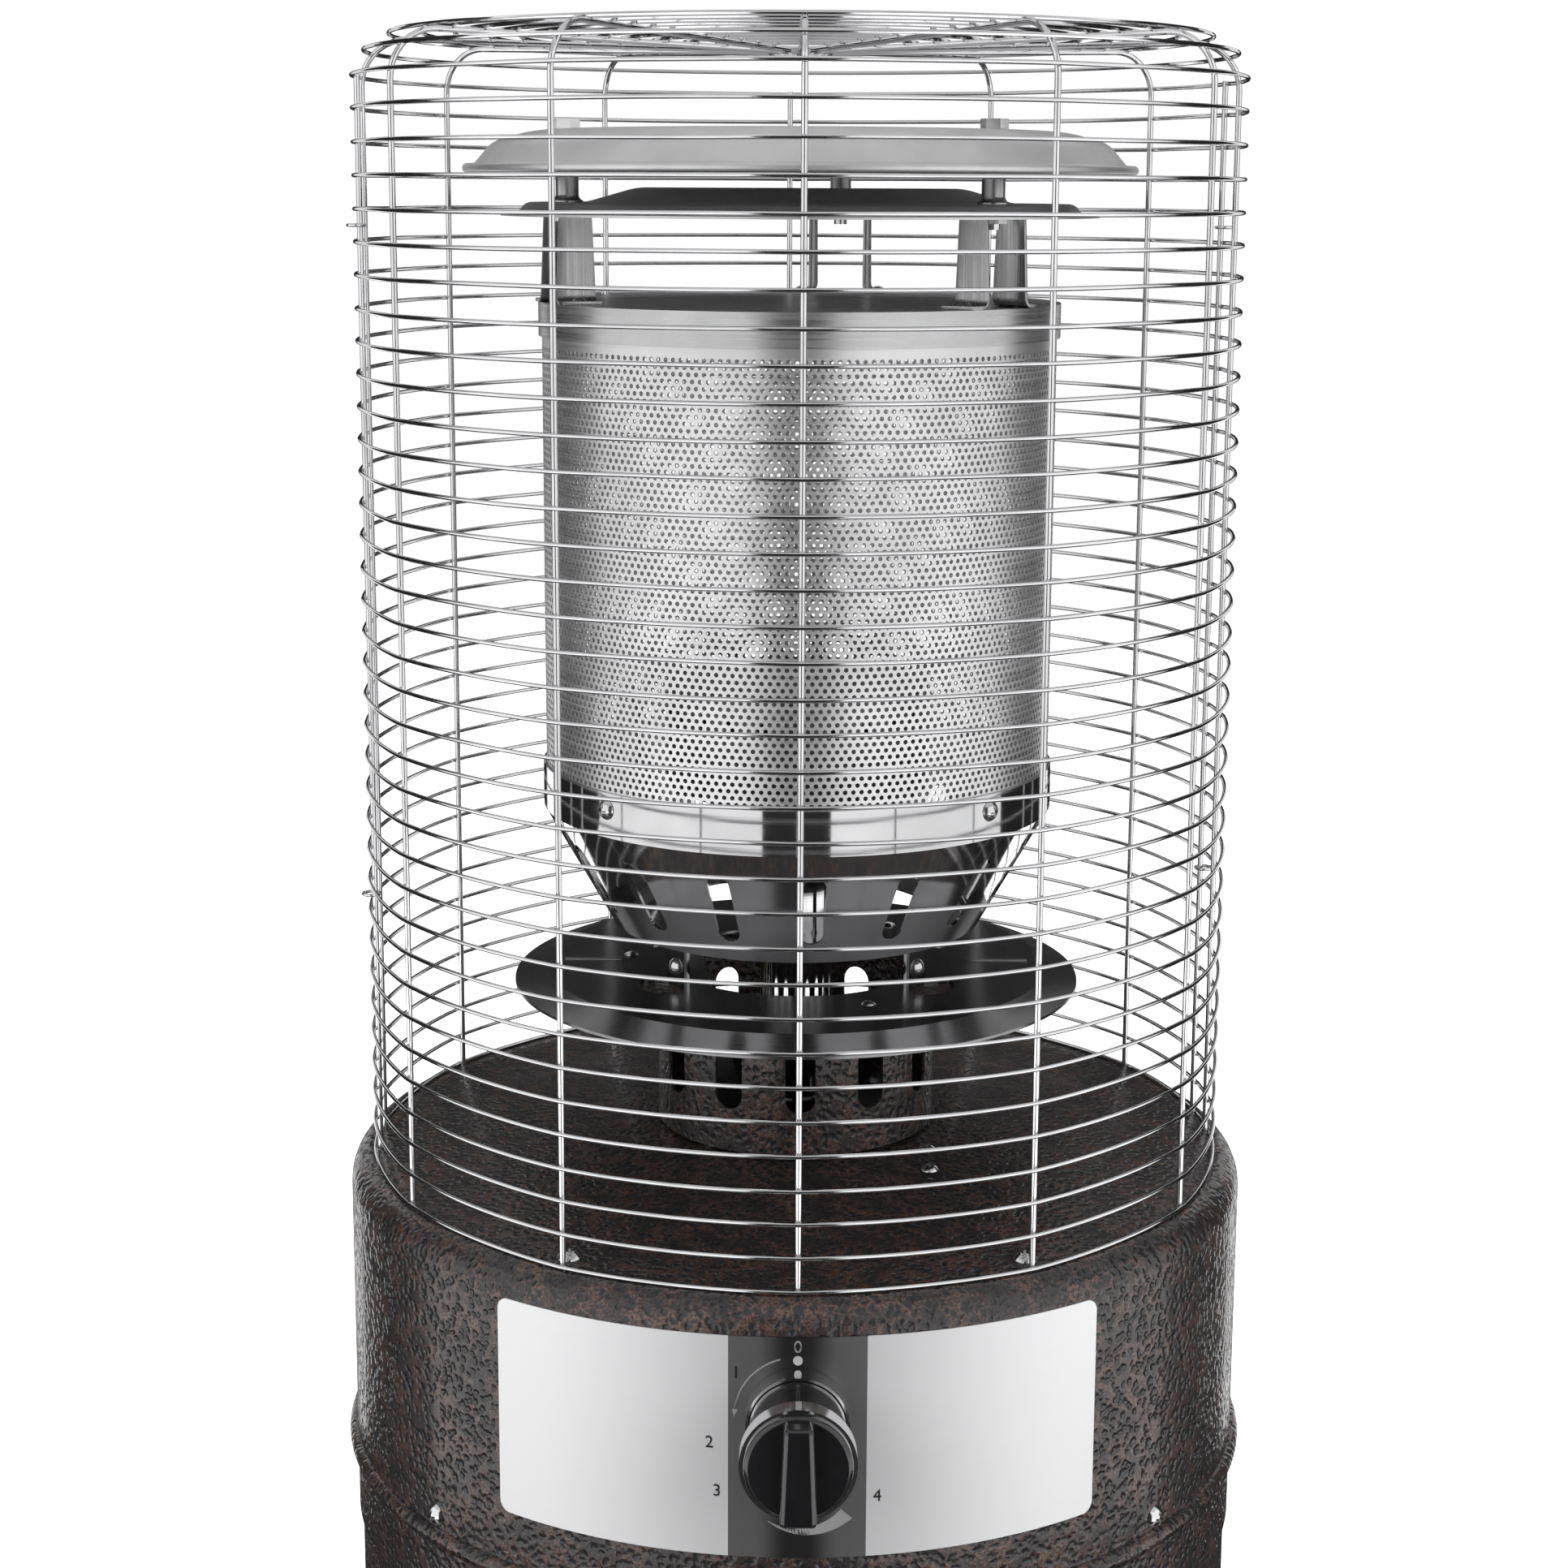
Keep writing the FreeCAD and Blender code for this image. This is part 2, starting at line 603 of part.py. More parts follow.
def foot_screws():
    head_radius = PAN_HEAD_RATIO * FOOT_SCREW_RADIUS
    length = BASE_TOP - FOOT_SCREW_RECESS
    one = screw(FOOT_SCREW_RADIUS, length, head_radius)
    one.rotate(V(0, 0, 0), V(1, 0, 0), 180)
    one = moved(one, y=-FOOT_CIRCLE_RADIUS, z=FOOT_SCREW_RECESS - SEAT_GAP)
    return group(at_azimuths(one, even_azimuths(FOOT_COUNT, FOOT_FIRST_AZIMUTH)))


def support_posts():
    post = cylinder(POST_RADIUS, BASE_TOP + SEAT_GAP, DECK_UNDERSIDE - SEAT_GAP, y=-POST_CIRCLE_RADIUS)
    depth = POST_SCREW_LENGTH + CUT
    bore = POST_SCREW_RADIUS + RUNNING_FIT
    low = cylinder(bore, BASE_TOP - CUT, BASE_TOP + depth, y=-POST_CIRCLE_RADIUS)
    high = cylinder(bore, DECK_UNDERSIDE - depth, DECK_UNDERSIDE + CUT, y=-POST_CIRCLE_RADIUS)
    post = post.cut(low).cut(high)
    return group(at_azimuths(post, POST_AZIMUTHS))


def post_screws():
    head_radius = PAN_HEAD_RATIO * POST_SCREW_RADIUS
    upper = screw(POST_SCREW_RADIUS, POST_SCREW_LENGTH, head_radius)
    upper = moved(upper, y=-POST_CIRCLE_RADIUS, z=DECK_TOP + SEAT_GAP)
    lower = screw(POST_SCREW_RADIUS, POST_SCREW_LENGTH, head_radius)
    lower.rotate(V(0, 0, 0), V(1, 0, 0), 180)
    lower = moved(lower, y=-POST_CIRCLE_RADIUS, z=FOOT_HEIGHT - SEAT_GAP)
    return group(at_azimuths(upper, POST_AZIMUTHS) + at_azimuths(lower, POST_AZIMUTHS))


def deck_plate():
    plate = cylinder(DECK_RIM_RADIUS, DECK_UNDERSIDE, DECK_TOP)
    rim_top = DECK_TOP + DECK_RIM_HEIGHT
    plate = plate.fuse(tube(DECK_RIM_RADIUS, DECK_RIM_RADIUS - SHEET, DECK_UNDERSIDE, rim_top))
    plate = plate.cut(cylinder(HOSE_HOLE_RADIUS, DECK_UNDERSIDE - CUT, DECK_TOP + CUT))
    radius = POST_SCREW_RADIUS + HOLE_CLEARANCE
    post_hole = cylinder(radius, DECK_UNDERSIDE - CUT, DECK_TOP + CUT, y=-POST_CIRCLE_RADIUS)
    screw_hole = front_cylinder(
        HOUSING_SCREW_RADIUS + HOLE_CLEARANCE, DECK_RIM_RADIUS - 3 * SHEET, HOUSING_RADIUS, SIDE_SCREW_Z)
    holes = at_azimuths(post_hole, POST_AZIMUTHS) + at_azimuths(screw_hole, SIDE_SCREW_AZIMUTHS)
    return plate.cut(group(holes)).removeSplitter()


def tank_housing():
    wall = tube(TANK_HOUSING_RADIUS, TANK_INNER_RADIUS, BASE_TOP + SEAT_GAP, TANK_TOP)
    flange_bottom = BASE_TOP + SEAT_GAP
    flange = tube(
        TANK_HOUSING_RADIUS, TANK_INNER_RADIUS - TANK_FLANGE_WIDTH, flange_bottom, flange_bottom + SHEET)
    first = 180.0 - DOOR_HALF_ANGLE
    opening = shell_segment(
        TANK_INNER_RADIUS - CUT, TANK_HOUSING_RADIUS + CUT, DOOR_BOTTOM, DOOR_TOP,
        first, first + 2 * DOOR_HALF_ANGLE)
    return wall.fuse(flange).cut(opening).removeSplitter()


def hinge_axis():
    """Distance of the door's hinge axis from the centre axis."""
    return TANK_HOUSING_RADIUS + SEAT_GAP + HINGE_BARREL_RADIUS


def hinge_bottoms():
    """Lower ends of the two hinges."""
    return (DOOR_BOTTOM + HINGE_INSET, DOOR_TOP - HINGE_INSET - HINGE_LENGTH)


def hinge_knuckles(bottom):
    """Height ranges of a hinge's lower, middle and upper knuckles."""
    third = HINGE_LENGTH / 3.0
    low = (bottom, bottom + third - HINGE_KNUCKLE_GAP)
    middle = (bottom + third, bottom + 2 * third)
    high = (bottom + 2 * third + HINGE_KNUCKLE_GAP, bottom + HINGE_LENGTH)
    return low, middle, high


def hinge_leaf(bottom, first, last, own, others):
    """One leaf with its own knuckles at the front, cleared around the other leaf's knuckles."""
    inner = TANK_HOUSING_RADIUS + SEAT_GAP
    leaf = shell_segment(inner, inner + HINGE_LEAF_THICKNESS, bottom, bottom + HINGE_LENGTH, first, last)
    for low, high in others:
        relief = HINGE_BARREL_RADIUS + HINGE_KNUCKLE_GAP
        cutter = cylinder(relief, low - HINGE_KNUCKLE_GAP, high + HINGE_KNUCKLE_GAP, y=-hinge_axis())
        leaf = leaf.cut(cutter)
    for low, high in own:
        leaf = leaf.fuse(cylinder(HINGE_BARREL_RADIUS, low, high, y=-hinge_axis()))
    bore = HINGE_PIN_RADIUS + RUNNING_FIT
    leaf = leaf.cut(cylinder(bore, bottom - CUT, bottom + HINGE_LENGTH + CUT, y=-hinge_axis()))
    return turned(leaf.removeSplitter(), 180.0 - DOOR_HALF_ANGLE)


def hinge_fixed_leaves():
    gap = math.degrees(SEAT_GAP / TANK_HOUSING_RADIUS)
    leaves = []
    for bottom in hinge_bottoms():
        low, middle, high = hinge_knuckles(bottom)
        leaves.append(hinge_leaf(bottom, -HINGE_LEAF_ANGLE, -gap, (low, high), (middle,)))
    return group(leaves)


def hinge_door_leaves():
    gap = math.degrees(DOOR_GAP / TANK_HOUSING_RADIUS)
    leaves = []
    for bottom in hinge_bottoms():
        low, middle, high = hinge_knuckles(bottom)
        leaves.append(hinge_leaf(bottom, gap, HINGE_LEAF_ANGLE, (middle,), (low, high)))
    return group(leaves)


def hinge_pins():
    pins = []
    for bottom in hinge_bottoms():
        top = bottom + HINGE_LENGTH + SEAT_GAP
        pin = cylinder(HINGE_PIN_RADIUS, bottom, top, y=-hinge_axis())
        head = cylinder(HINGE_BARREL_RADIUS, top, top + HINGE_PIN_HEAD_HEIGHT, y=-hinge_axis())
        pins.append(turned(pin.fuse(head), 180.0 - DOOR_HALF_ANGLE))
    return group(pins)


def tank_door():
    gap = math.degrees(DOOR_GAP / TANK_HOUSING_RADIUS)
    first = 180.0 - DOOR_HALF_ANGLE + gap
    last = 180.0 + DOOR_HALF_ANGLE - gap
    return shell_segment(
        TANK_INNER_RADIUS, TANK_HOUSING_RADIUS, DOOR_BOTTOM + DOOR_GAP, DOOR_TOP - DOOR_GAP, first, last)


def door_pull():
    seat = TANK_HOUSING_RADIUS + SEAT_GAP
    middle = (DOOR_BOTTOM + DOOR_TOP) / 2.0
    neck_end = seat + PULL_NECK_LENGTH
    pull = front_cylinder(PULL_NECK_RADIUS, seat, neck_end, middle)
    pull = pull.fuse(front_cylinder(PULL_RADIUS, neck_end, neck_end + PULL_HEAD_LENGTH, middle))
    return turned(pull, 180.0 + DOOR_HALF_ANGLE - PULL_EDGE_INSET)


def door_catch():
    edge = 180.0 + DOOR_HALF_ANGLE
    half = math.degrees(CATCH_WIDTH / 2.0 / TANK_INNER_RADIUS)
    middle = (DOOR_BOTTOM + DOOR_TOP) / 2.0
    low = middle - CATCH_HEIGHT / 2.0
    high = middle + CATCH_HEIGHT / 2.0
    inner = TANK_INNER_RADIUS - CATCH_DEPTH
    seat = shell_segment(inner, TANK_INNER_RADIUS - SEAT_GAP, low, high, edge, edge + half)
    stop = shell_segment(inner, TANK_INNER_RADIUS - SLEEVE_GAP, low, high, edge - half, edge)
    return seat.fuse(stop).removeSplitter()


def housing_volume(radius, lowest, drop):
    """The control housing's outer volume, or its inner one when drop is the sheet."""
    edge = CROWN_EDGE_Z - drop
    reach = radius - CROWN_EDGE_RADIUS
    shoulder = []
    for index in range(SHOULDER_STEPS + 1):
        turn = math.pi / 2.0 * index / SHOULDER_STEPS
        side = CROWN_EDGE_RADIUS + reach * math.cos(turn)
        shoulder.append((side, SHOULDER_Z + (edge - SHOULDER_Z) * math.sin(turn)))
    top = [(CROWN_HOLE_RADIUS, CROWN_Z - drop), (0.0, CROWN_Z - drop)]
    return spun(line_outline([(0.0, lowest), (radius, lowest)] + shoulder + top))


def upper_housing():
    shell = housing_volume(HOUSING_RADIUS, HOUSING_BOTTOM, 0.0)
    bead_circle = HOUSING_RADIUS + BEAD_PROUD - BEAD_RADIUS
    shell = shell.fuse(wire_ring(bead_circle, BEAD_RADIUS, BEAD_Z))
    shell = shell.cut(housing_volume(HOUSING_INNER_RADIUS, HOUSING_BOTTOM - CUT, SHEET))
    shell = shell.cut(wire_ring(bead_circle, BEAD_RADIUS - SHEET, BEAD_Z))
    shell = shell.cut(cylinder(CROWN_HOLE_RADIUS, SHOULDER_Z, CROWN_Z + CUT))
    holes = [front_cylinder(KNOB_HOLE_RADIUS, VALVE_FRONT, HOUSING_RADIUS + CUT, KNOB_Z)]
    side = front_cylinder(
        HOUSING_SCREW_RADIUS + HOLE_CLEARANCE, DECK_RIM_RADIUS, HOUSING_RADIUS + CUT, SIDE_SCREW_Z)
    holes += at_azimuths(side, SIDE_SCREW_AZIMUTHS)
    top = cylinder(
        HOUSING_SCREW_RADIUS + HOLE_CLEARANCE, SHOULDER_Z, CROWN_Z + CUT, y=-TOP_SCREW_CIRCLE_RADIUS)
    holes += at_azimuths(top, TOP_SCREW_AZIMUTHS)
    base = cylinder(NECK_SCREW_RADIUS + HOLE_CLEARANCE, SHOULDER_Z, CROWN_Z + CUT, y=-neck_screw_circle())
    holes += at_azimuths(base, even_azimuths(NECK_SCREW_COUNT, NECK_SCREW_FIRST_AZIMUTH))
    foot = cylinder(
        GUARD_WIRE_RADIUS + HOLE_CLEARANCE, SHOULDER_Z, CROWN_Z + CUT, y=-GUARD_UPRIGHT_CIRCLE_RADIUS)
    holes += at_azimuths(foot, guard_foot_azimuths())
    for y in tilt_screw_ys():
        radius = TILT_SCREW_RADIUS + HOLE_CLEARANCE
        holes.append(cylinder(radius, SHOULDER_Z, CROWN_Z + CUT, TILT_SWITCH_X, y))
    return shell.cut(group(holes))


def strut_face():
    """Distance of a strut's outer face from the centre axis."""
    return TOP_SCREW_CIRCLE_RADIUS - STRUT_FLANGE_LENGTH / 2.0


def housing_struts():
    face = strut_face()
    half = STRUT_WIDTH / 2.0
    flange_end = face + STRUT_FLANGE_LENGTH
    foot_z = DECK_TOP + SEAT_GAP
    top_z = crown_z(flange_end) - SHEET - 2 * STRUT_THICKNESS
    web = box(-half, half, -face, -face + STRUT_THICKNESS, foot_z, CROWN_Z)
    foot = box(-half, half, -flange_end, -face, foot_z, foot_z + STRUT_THICKNESS)
    head = box(-half, half, -flange_end, -face, top_z, CROWN_Z)
    strut = web.fuse(foot).fuse(head)
    room = housing_volume(HOUSING_INNER_RADIUS, HOUSING_BOTTOM, SHEET + SEAT_GAP)
    strut = strut.common(room)
    bore = cylinder(HOUSING_SCREW_RADIUS + RUNNING_FIT, -(HOUSING_SCREW_LENGTH + CUT), 0)
    strut = strut.cut(on_crown(bore))
    return group(at_azimuths(strut.removeSplitter(), TOP_SCREW_AZIMUTHS))


def housing_screws():
    one = screw(HOUSING_SCREW_RADIUS, HOUSING_SCREW_LENGTH, PAN_HEAD_RATIO * HOUSING_SCREW_RADIUS)
    side = moved(upright_to_front(one), y=-(HOUSING_RADIUS + SEAT_GAP), z=SIDE_SCREW_Z)
    return group(at_azimuths(side, SIDE_SCREW_AZIMUTHS) + at_azimuths(on_crown(one), TOP_SCREW_AZIMUTHS))


def label_plate():
    inner = HOUSING_RADIUS + SEAT_GAP
    outer = inner + LABEL_THICKNESS
    bottom = KNOB_Z - LABEL_BELOW_KNOB
    top = min(KNOB_Z + LABEL_ABOVE_KNOB, SHOULDER_Z)
    plate = shell_segment(inner, outer, bottom, top, -LABEL_HALF_ANGLE, LABEL_HALF_ANGLE)
    short = [edge for edge in plate.Edges if abs(edge.Length - LABEL_THICKNESS) < SEAT_GAP]
    plate = plate.makeFillet(LABEL_CORNER_RADIUS, short)
    return plate.cut(front_cylinder(KNOB_HOLE_RADIUS, inner - CUT, outer + CUT, KNOB_Z))


def knob_bezel():
    ring = front_cylinder(BEZEL_RADIUS, HOUSING_RADIUS - 2 * SHEET, BEZEL_FRONT, KNOB_Z)
    inside = front_cylinder(BEZEL_INNER_RADIUS, HOUSING_RADIUS - 3 * SHEET, BEZEL_FRONT + CUT, KNOB_Z)
    return ring.cut(inside).cut(cylinder(BEZEL_BACK, HOUSING_BOTTOM, CROWN_Z))


def knob():
    body = front_cylinder(KNOB_BARREL_RADIUS, KNOB_BACK, KNOB_HEAD_BACK, KNOB_Z)
    hollow = KNOB_BARREL_RADIUS - KNOB_WALL
    body = body.cut(front_cylinder(hollow, KNOB_BACK - CUT, KNOB_HEAD_BACK, KNOB_Z))
    head = front_cylinder(KNOB_HEAD_RADIUS, KNOB_HEAD_BACK, KNOB_FACE, KNOB_Z)
    circles = [edge for edge in head.Edges if edge.Length > KNOB_HEAD_RADIUS]
    rim = [edge for edge in circles if edge.CenterOfMass.y < CUT - KNOB_FACE]
    head = head.makeFillet(GRIP_ROUND, rim)
    hub = front_cylinder(KNOB_HUB_RADIUS, KNOB_BACK, KNOB_HEAD_BACK + CUT, KNOB_Z)
    body = body.fuse(head).fuse(hub).fuse(knob_grip())
    bore = front_cylinder(STEM_RADIUS + RUNNING_FIT, KNOB_BACK - CUT, KNOB_BACK + KNOB_BORE_DEPTH, KNOB_Z)
    return body.cut(bore)


def knob_grip():
    half = GRIP_LENGTH / 2.0
    top = GRIP_WIDTH / 2.0
    foot = top + GRIP_FLARE / 2.0
    back = -(KNOB_FACE - CUT)
    points = [
        V(-top, back, KNOB_Z + half), V(top, back, KNOB_Z + half),
        V(foot, back, KNOB_Z - half), V(-foot, back, KNOB_Z - half)]
    bar = prism(points, V(0, -(GRIP_HEIGHT + CUT), 0))
    front = -(KNOB_FACE + GRIP_HEIGHT)
    lip = [edge for edge in bar.Edges if edge.CenterOfMass.y < back - CUT]
    bar = bar.makeFillet(GRIP_ROUND, [edge for edge in lip if edge.CenterOfMass.y > front - CUT])
    reach = front_cylinder(KNOB_HEAD_RADIUS, KNOB_HEAD_BACK, -front + CUT, KNOB_Z)
    return bar.common(reach)


def knob_ring():
    inner = KNOB_HEAD_RADIUS + RUNNING_FIT
    back = KNOB_HEAD_BACK + CUT
    ring = front_cylinder(inner + KNOB_RING_WALL, back, back + KNOB_RING_LENGTH, KNOB_Z)
    return ring.cut(front_cylinder(inner, back - CUT, back + KNOB_RING_LENGTH + CUT, KNOB_Z))


def valve_stem():
    inner_end = VALVE_CHAMBER_BACK + PUSH_PIN_LENGTH + SEAT_GAP
    outer_end = KNOB_BACK + KNOB_BORE_DEPTH - SEAT_GAP
    return front_cylinder(STEM_RADIUS, inner_end, outer_end, KNOB_Z)


def push_pin():
    outer_end = VALVE_CHAMBER_BACK + PUSH_PIN_LENGTH
    return front_cylinder(PUSH_PIN_RADIUS, VALVE_CHAMBER_BACK - KNOB_TRAVEL, outer_end, KNOB_Z)


def return_spring():
    start = VALVE_FRONT + VALVE_BRACKET_THICKNESS + SPRING_WIRE_RADIUS + 2 * SEAT_GAP
    length = KNOB_BACK - SPRING_WIRE_RADIUS - SEAT_GAP - start
    helix = Part.makeHelix(length / SPRING_TURNS, length, SPRING_RADIUS)
    section = Part.Wire(Part.makeCircle(SPRING_WIRE_RADIUS, V(SPRING_RADIUS, 0, 0), V(0, 1, 0)))
    coil = Part.Wire(helix.Edges).makePipeShell([section], True, True)
    coil = upright_to_front(coil)
    return moved(coil, y=-start, z=KNOB_Z)


def gas_valve():
    body = front_cylinder(VALVE_BODY_RADIUS, VALVE_BACK, VALVE_FRONT, KNOB_Z)
    half = VALVE_BODY_RADIUS
    block = box(-half, half, -VALVE_CHAMBER_BACK, -VALVE_BACK, KNOB_Z - half, KNOB_Z + half)
    body = body.fuse(block)
    bore = front_cylinder(STEM_BORE_RADIUS, VALVE_CHAMBER_BACK, VALVE_FRONT + CUT, KNOB_Z)
    pin_bore = front_cylinder(
        PUSH_PIN_RADIUS + RUNNING_FIT, VALVE_CHAMBER_BACK - 2 * KNOB_TRAVEL - CUT, VALVE_FRONT, KNOB_Z)
    body = body.cut(bore).cut(pin_bore)
    thread = VALVE_SCREW_RADIUS + RUNNING_FIT
    for x in valve_screw_xs():
        end = VALVE_FRONT - VALVE_SCREW_LENGTH
        body = body.cut(front_cylinder(thread, end, VALVE_FRONT + CUT, KNOB_Z, x))
    return body.removeSplitter()


def valve_screw_xs():
    """Sideways places of the two screws that hold the valve."""
    return (-VALVE_SCREW_SPACING / 2.0, VALVE_SCREW_SPACING / 2.0)


def valve_bracket():
    half = VALVE_BRACKET_WIDTH / 2.0
    low = KNOB_Z - VALVE_BRACKET_HEIGHT / 2.0
    high = KNOB_Z + VALVE_BRACKET_HEIGHT / 2.0
    back = VALVE_FRONT + SEAT_GAP
    front = back + VALVE_BRACKET_THICKNESS
    plate = box(-half, half, -front, -back, low, high)
    for side in (-1, 1):
        inner = side * (half - VALVE_BRACKET_THICKNESS)
        outer = side * half
        wing = box(min(inner, outer), max(inner, outer), -HOUSING_RADIUS, -back, low, high)
        plate = plate.fuse(wing)
    plate = plate.common(cylinder(HOUSING_INNER_RADIUS - SEAT_GAP, low - CUT, high + CUT))
    plate = plate.cut(front_cylinder(STEM_RADIUS + HOLE_CLEARANCE, back - CUT, front + CUT, KNOB_Z))
    hole = VALVE_SCREW_RADIUS + HOLE_CLEARANCE
    for x in valve_screw_xs():
        plate = plate.cut(front_cylinder(hole, back - CUT, front + CUT, KNOB_Z, x))
    return plate.removeSplitter()


def valve_screws():
    one = screw(VALVE_SCREW_RADIUS, VALVE_SCREW_LENGTH, PAN_HEAD_RATIO * VALVE_SCREW_RADIUS)
    one = upright_to_front(one)
    seat = VALVE_FRONT + VALVE_BRACKET_THICKNESS + 2 * SEAT_GAP
    return group([moved(one, x, -seat, KNOB_Z) for x in valve_screw_xs()])


def valve_middle():
    """Distance of the valve block's ports from the centre axis."""
    return (VALVE_BACK + VALVE_CHAMBER_BACK) / 2.0


def gas_inlet():
    y = -valve_middle()
    top = KNOB_Z - VALVE_BODY_RADIUS - SEAT_GAP
    fitting = cylinder(INLET_RADIUS, top - INLET_LENGTH, top, y=y)
    nut = moved(hexagon(INLET_HEX_WIDTH, top - INLET_HEX_LENGTH, top), y=y)
    fitting = fitting.fuse(nut)
    return fitting.cut(cylinder(INLET_BORE_RADIUS, top - INLET_LENGTH - CUT, top + CUT, y=y))


def main_gas_pipe():
    start = V(0, -VALVE_BACK + SEAT_GAP, KNOB_Z)
    under = injector_bottom() - SEAT_GAP
    corner = V(0, 0, KNOB_Z)
    return bent_rod([start, corner, V(0, 0, under)], GAS_PIPE_RADIUS, GAS_PIPE_BEND)


def injector_bottom():
    """Lower end of the gas injector."""
    return CROSS_PLATE_Z - GAS_PIPE_DROP


def injector():
    bottom = injector_bottom()
    top = bottom + INJECTOR_LENGTH
    body = cylinder(INJECTOR_RADIUS, bottom, CROSS_PLATE_Z - SEAT_GAP)
    body = body.fuse(cylinder(INJECTOR_THREAD_RADIUS, CROSS_PLATE_Z - CUT, top))
    body = body.fuse(cylinder(INJECTOR_NOSE_RADIUS, top, top + INJECTOR_NOSE_LENGTH))
    return body.cut(cylinder(INJECTOR_BORE_RADIUS, bottom - CUT, top + INJECTOR_NOSE_LENGTH + CUT))


def neck_foot_inner():
    """Inner radius of the neck's lower flange."""
    return NECK_RADIUS - NECK_FOOT_WIDTH


def neck_screw_circle():
    """Radius of the circle of screws through the neck's lower flange."""
    return (neck_foot_inner() + NECK_RADIUS - NECK_SHEET) / 2.0


def neck():
    base = NECK_BASE_Z + SEAT_GAP
    inner = NECK_RADIUS - NECK_SHEET
    wall = tube(NECK_RADIUS, inner, base, NECK_TOP_Z)
    wall = wall.fuse(tube(NECK_RADIUS, neck_foot_inner(), base, base + NECK_SHEET))
    flange = NECK_RADIUS + NECK_TOP_FLANGE_WIDTH
    wall = wall.fuse(tube(flange, inner, NECK_TOP_Z - NECK_SHEET, NECK_TOP_Z))
    half = NECK_SLOT_WIDTH / 2.0
    low = NECK_BASE_Z + NECK_SLOT_BOTTOM + half
    high = NECK_BASE_Z + NECK_SLOT_TOP - half
    slot = front_cylinder(half, inner - CUT, NECK_RADIUS + CUT, low)
    slot = slot.fuse(front_cylinder(half, inner - CUT, NECK_RADIUS + CUT, high))
    slot = slot.fuse(box(-half, half, -(NECK_RADIUS + CUT), -(inner - CUT), low, high))
    hole = cylinder(
        NECK_SCREW_RADIUS + HOLE_CLEARANCE, base - CUT, base + NECK_SHEET + CUT, y=-neck_screw_circle())
    rivet_hole = cylinder(
        RIVET_RADIUS + HOLE_CLEARANCE, NECK_TOP_Z - 2 * NECK_SHEET, NECK_TOP_Z + CUT, y=-RIVET_CIRCLE_RADIUS)
    cutters = at_azimuths(slot, even_azimuths(NECK_SLOT_COUNT, NECK_SLOT_FIRST_AZIMUTH))
    cutters += at_azimuths(hole, even_azimuths(NECK_SCREW_COUNT, NECK_SCREW_FIRST_AZIMUTH))
    cutters += at_azimuths(rivet_hole, even_azimuths(RIVET_COUNT, RIVET_FIRST_AZIMUTH))
    return wall.cut(group(cutters)).removeSplitter()


def neck_screws():
    one = screw(NECK_SCREW_RADIUS, NECK_SCREW_LENGTH, PAN_HEAD_RATIO * NECK_SCREW_RADIUS)
    seat = NECK_BASE_Z + NECK_SHEET + 2 * SEAT_GAP
    one = moved(one, y=-neck_screw_circle(), z=seat)
    return group(at_azimuths(one, even_azimuths(NECK_SCREW_COUNT, NECK_SCREW_FIRST_AZIMUTH)))


def burner_cross_plate():
    reach = NECK_RADIUS - NECK_SHEET - SLEEVE_GAP
    half = CROSS_PLATE_WIDTH / 2.0
    plate = box(-reach, reach, -half, half, CROSS_PLATE_Z + SEAT_GAP, CROSS_PLATE_TOP)
    plate = plate.common(cylinder(reach, CROSS_PLATE_Z, CROSS_PLATE_TOP + CUT))
    low = CROSS_PLATE_Z - CUT
    high = CROSS_PLATE_TOP + CUT
    holes = [cylinder(INJECTOR_THREAD_RADIUS + RUNNING_FIT, low, high)]
    for x, y in line_places():
        holes.append(cylinder(PILOT_PIPE_RADIUS + GROMMET_GAP, low, high, x, y))
    return plate.cut(group(holes))


def mixing_tube():
    bottom = CROSS_PLATE_TOP + SEAT_GAP
    top = BURNER_BASE_Z - SEAT_GAP
    inner = MIXING_TUBE_RADIUS - MIXING_TUBE_WALL
    wall = tube(MIXING_TUBE_RADIUS, inner, bottom, top)
    hole_z = bottom + AIR_HOLE_HEIGHT
    hole = front_cylinder(AIR_HOLE_RADIUS, inner - 2 * CUT, MIXING_TUBE_RADIUS + CUT, hole_z)
    return wall.cut(group(at_azimuths(hole, even_azimuths(MIXING_TUBE_AIR_HOLES, 45.0))))


def burner_head():
    top = BURNER_BASE_Z + BURNER_HEIGHT
    can = cylinder(BURNER_RADIUS, BURNER_BASE_Z, top)
    can = can.cut(cylinder(BURNER_RADIUS - BURNER_WALL, BURNER_BASE_Z + BURNER_WALL, top - BURNER_WALL))
    mouth = MIXING_TUBE_RADIUS - MIXING_TUBE_WALL
    can = can.cut(cylinder(mouth, BURNER_BASE_Z - CUT, BURNER_BASE_Z + 2 * BURNER_WALL))
    port = front_cylinder(
        BURNER_PORT_RADIUS, BURNER_RADIUS - 3 * BURNER_WALL, BURNER_RADIUS + CUT, top - BURNER_HEIGHT / 4.0)
    return can.cut(group(at_azimuths(port, even_azimuths(BURNER_PORT_COUNT))))


def pilot_shelf_z():
    """Height of the top of the pilot bracket's shelf."""
    return BURNER_BASE_Z + BURNER_HEIGHT / 4.0


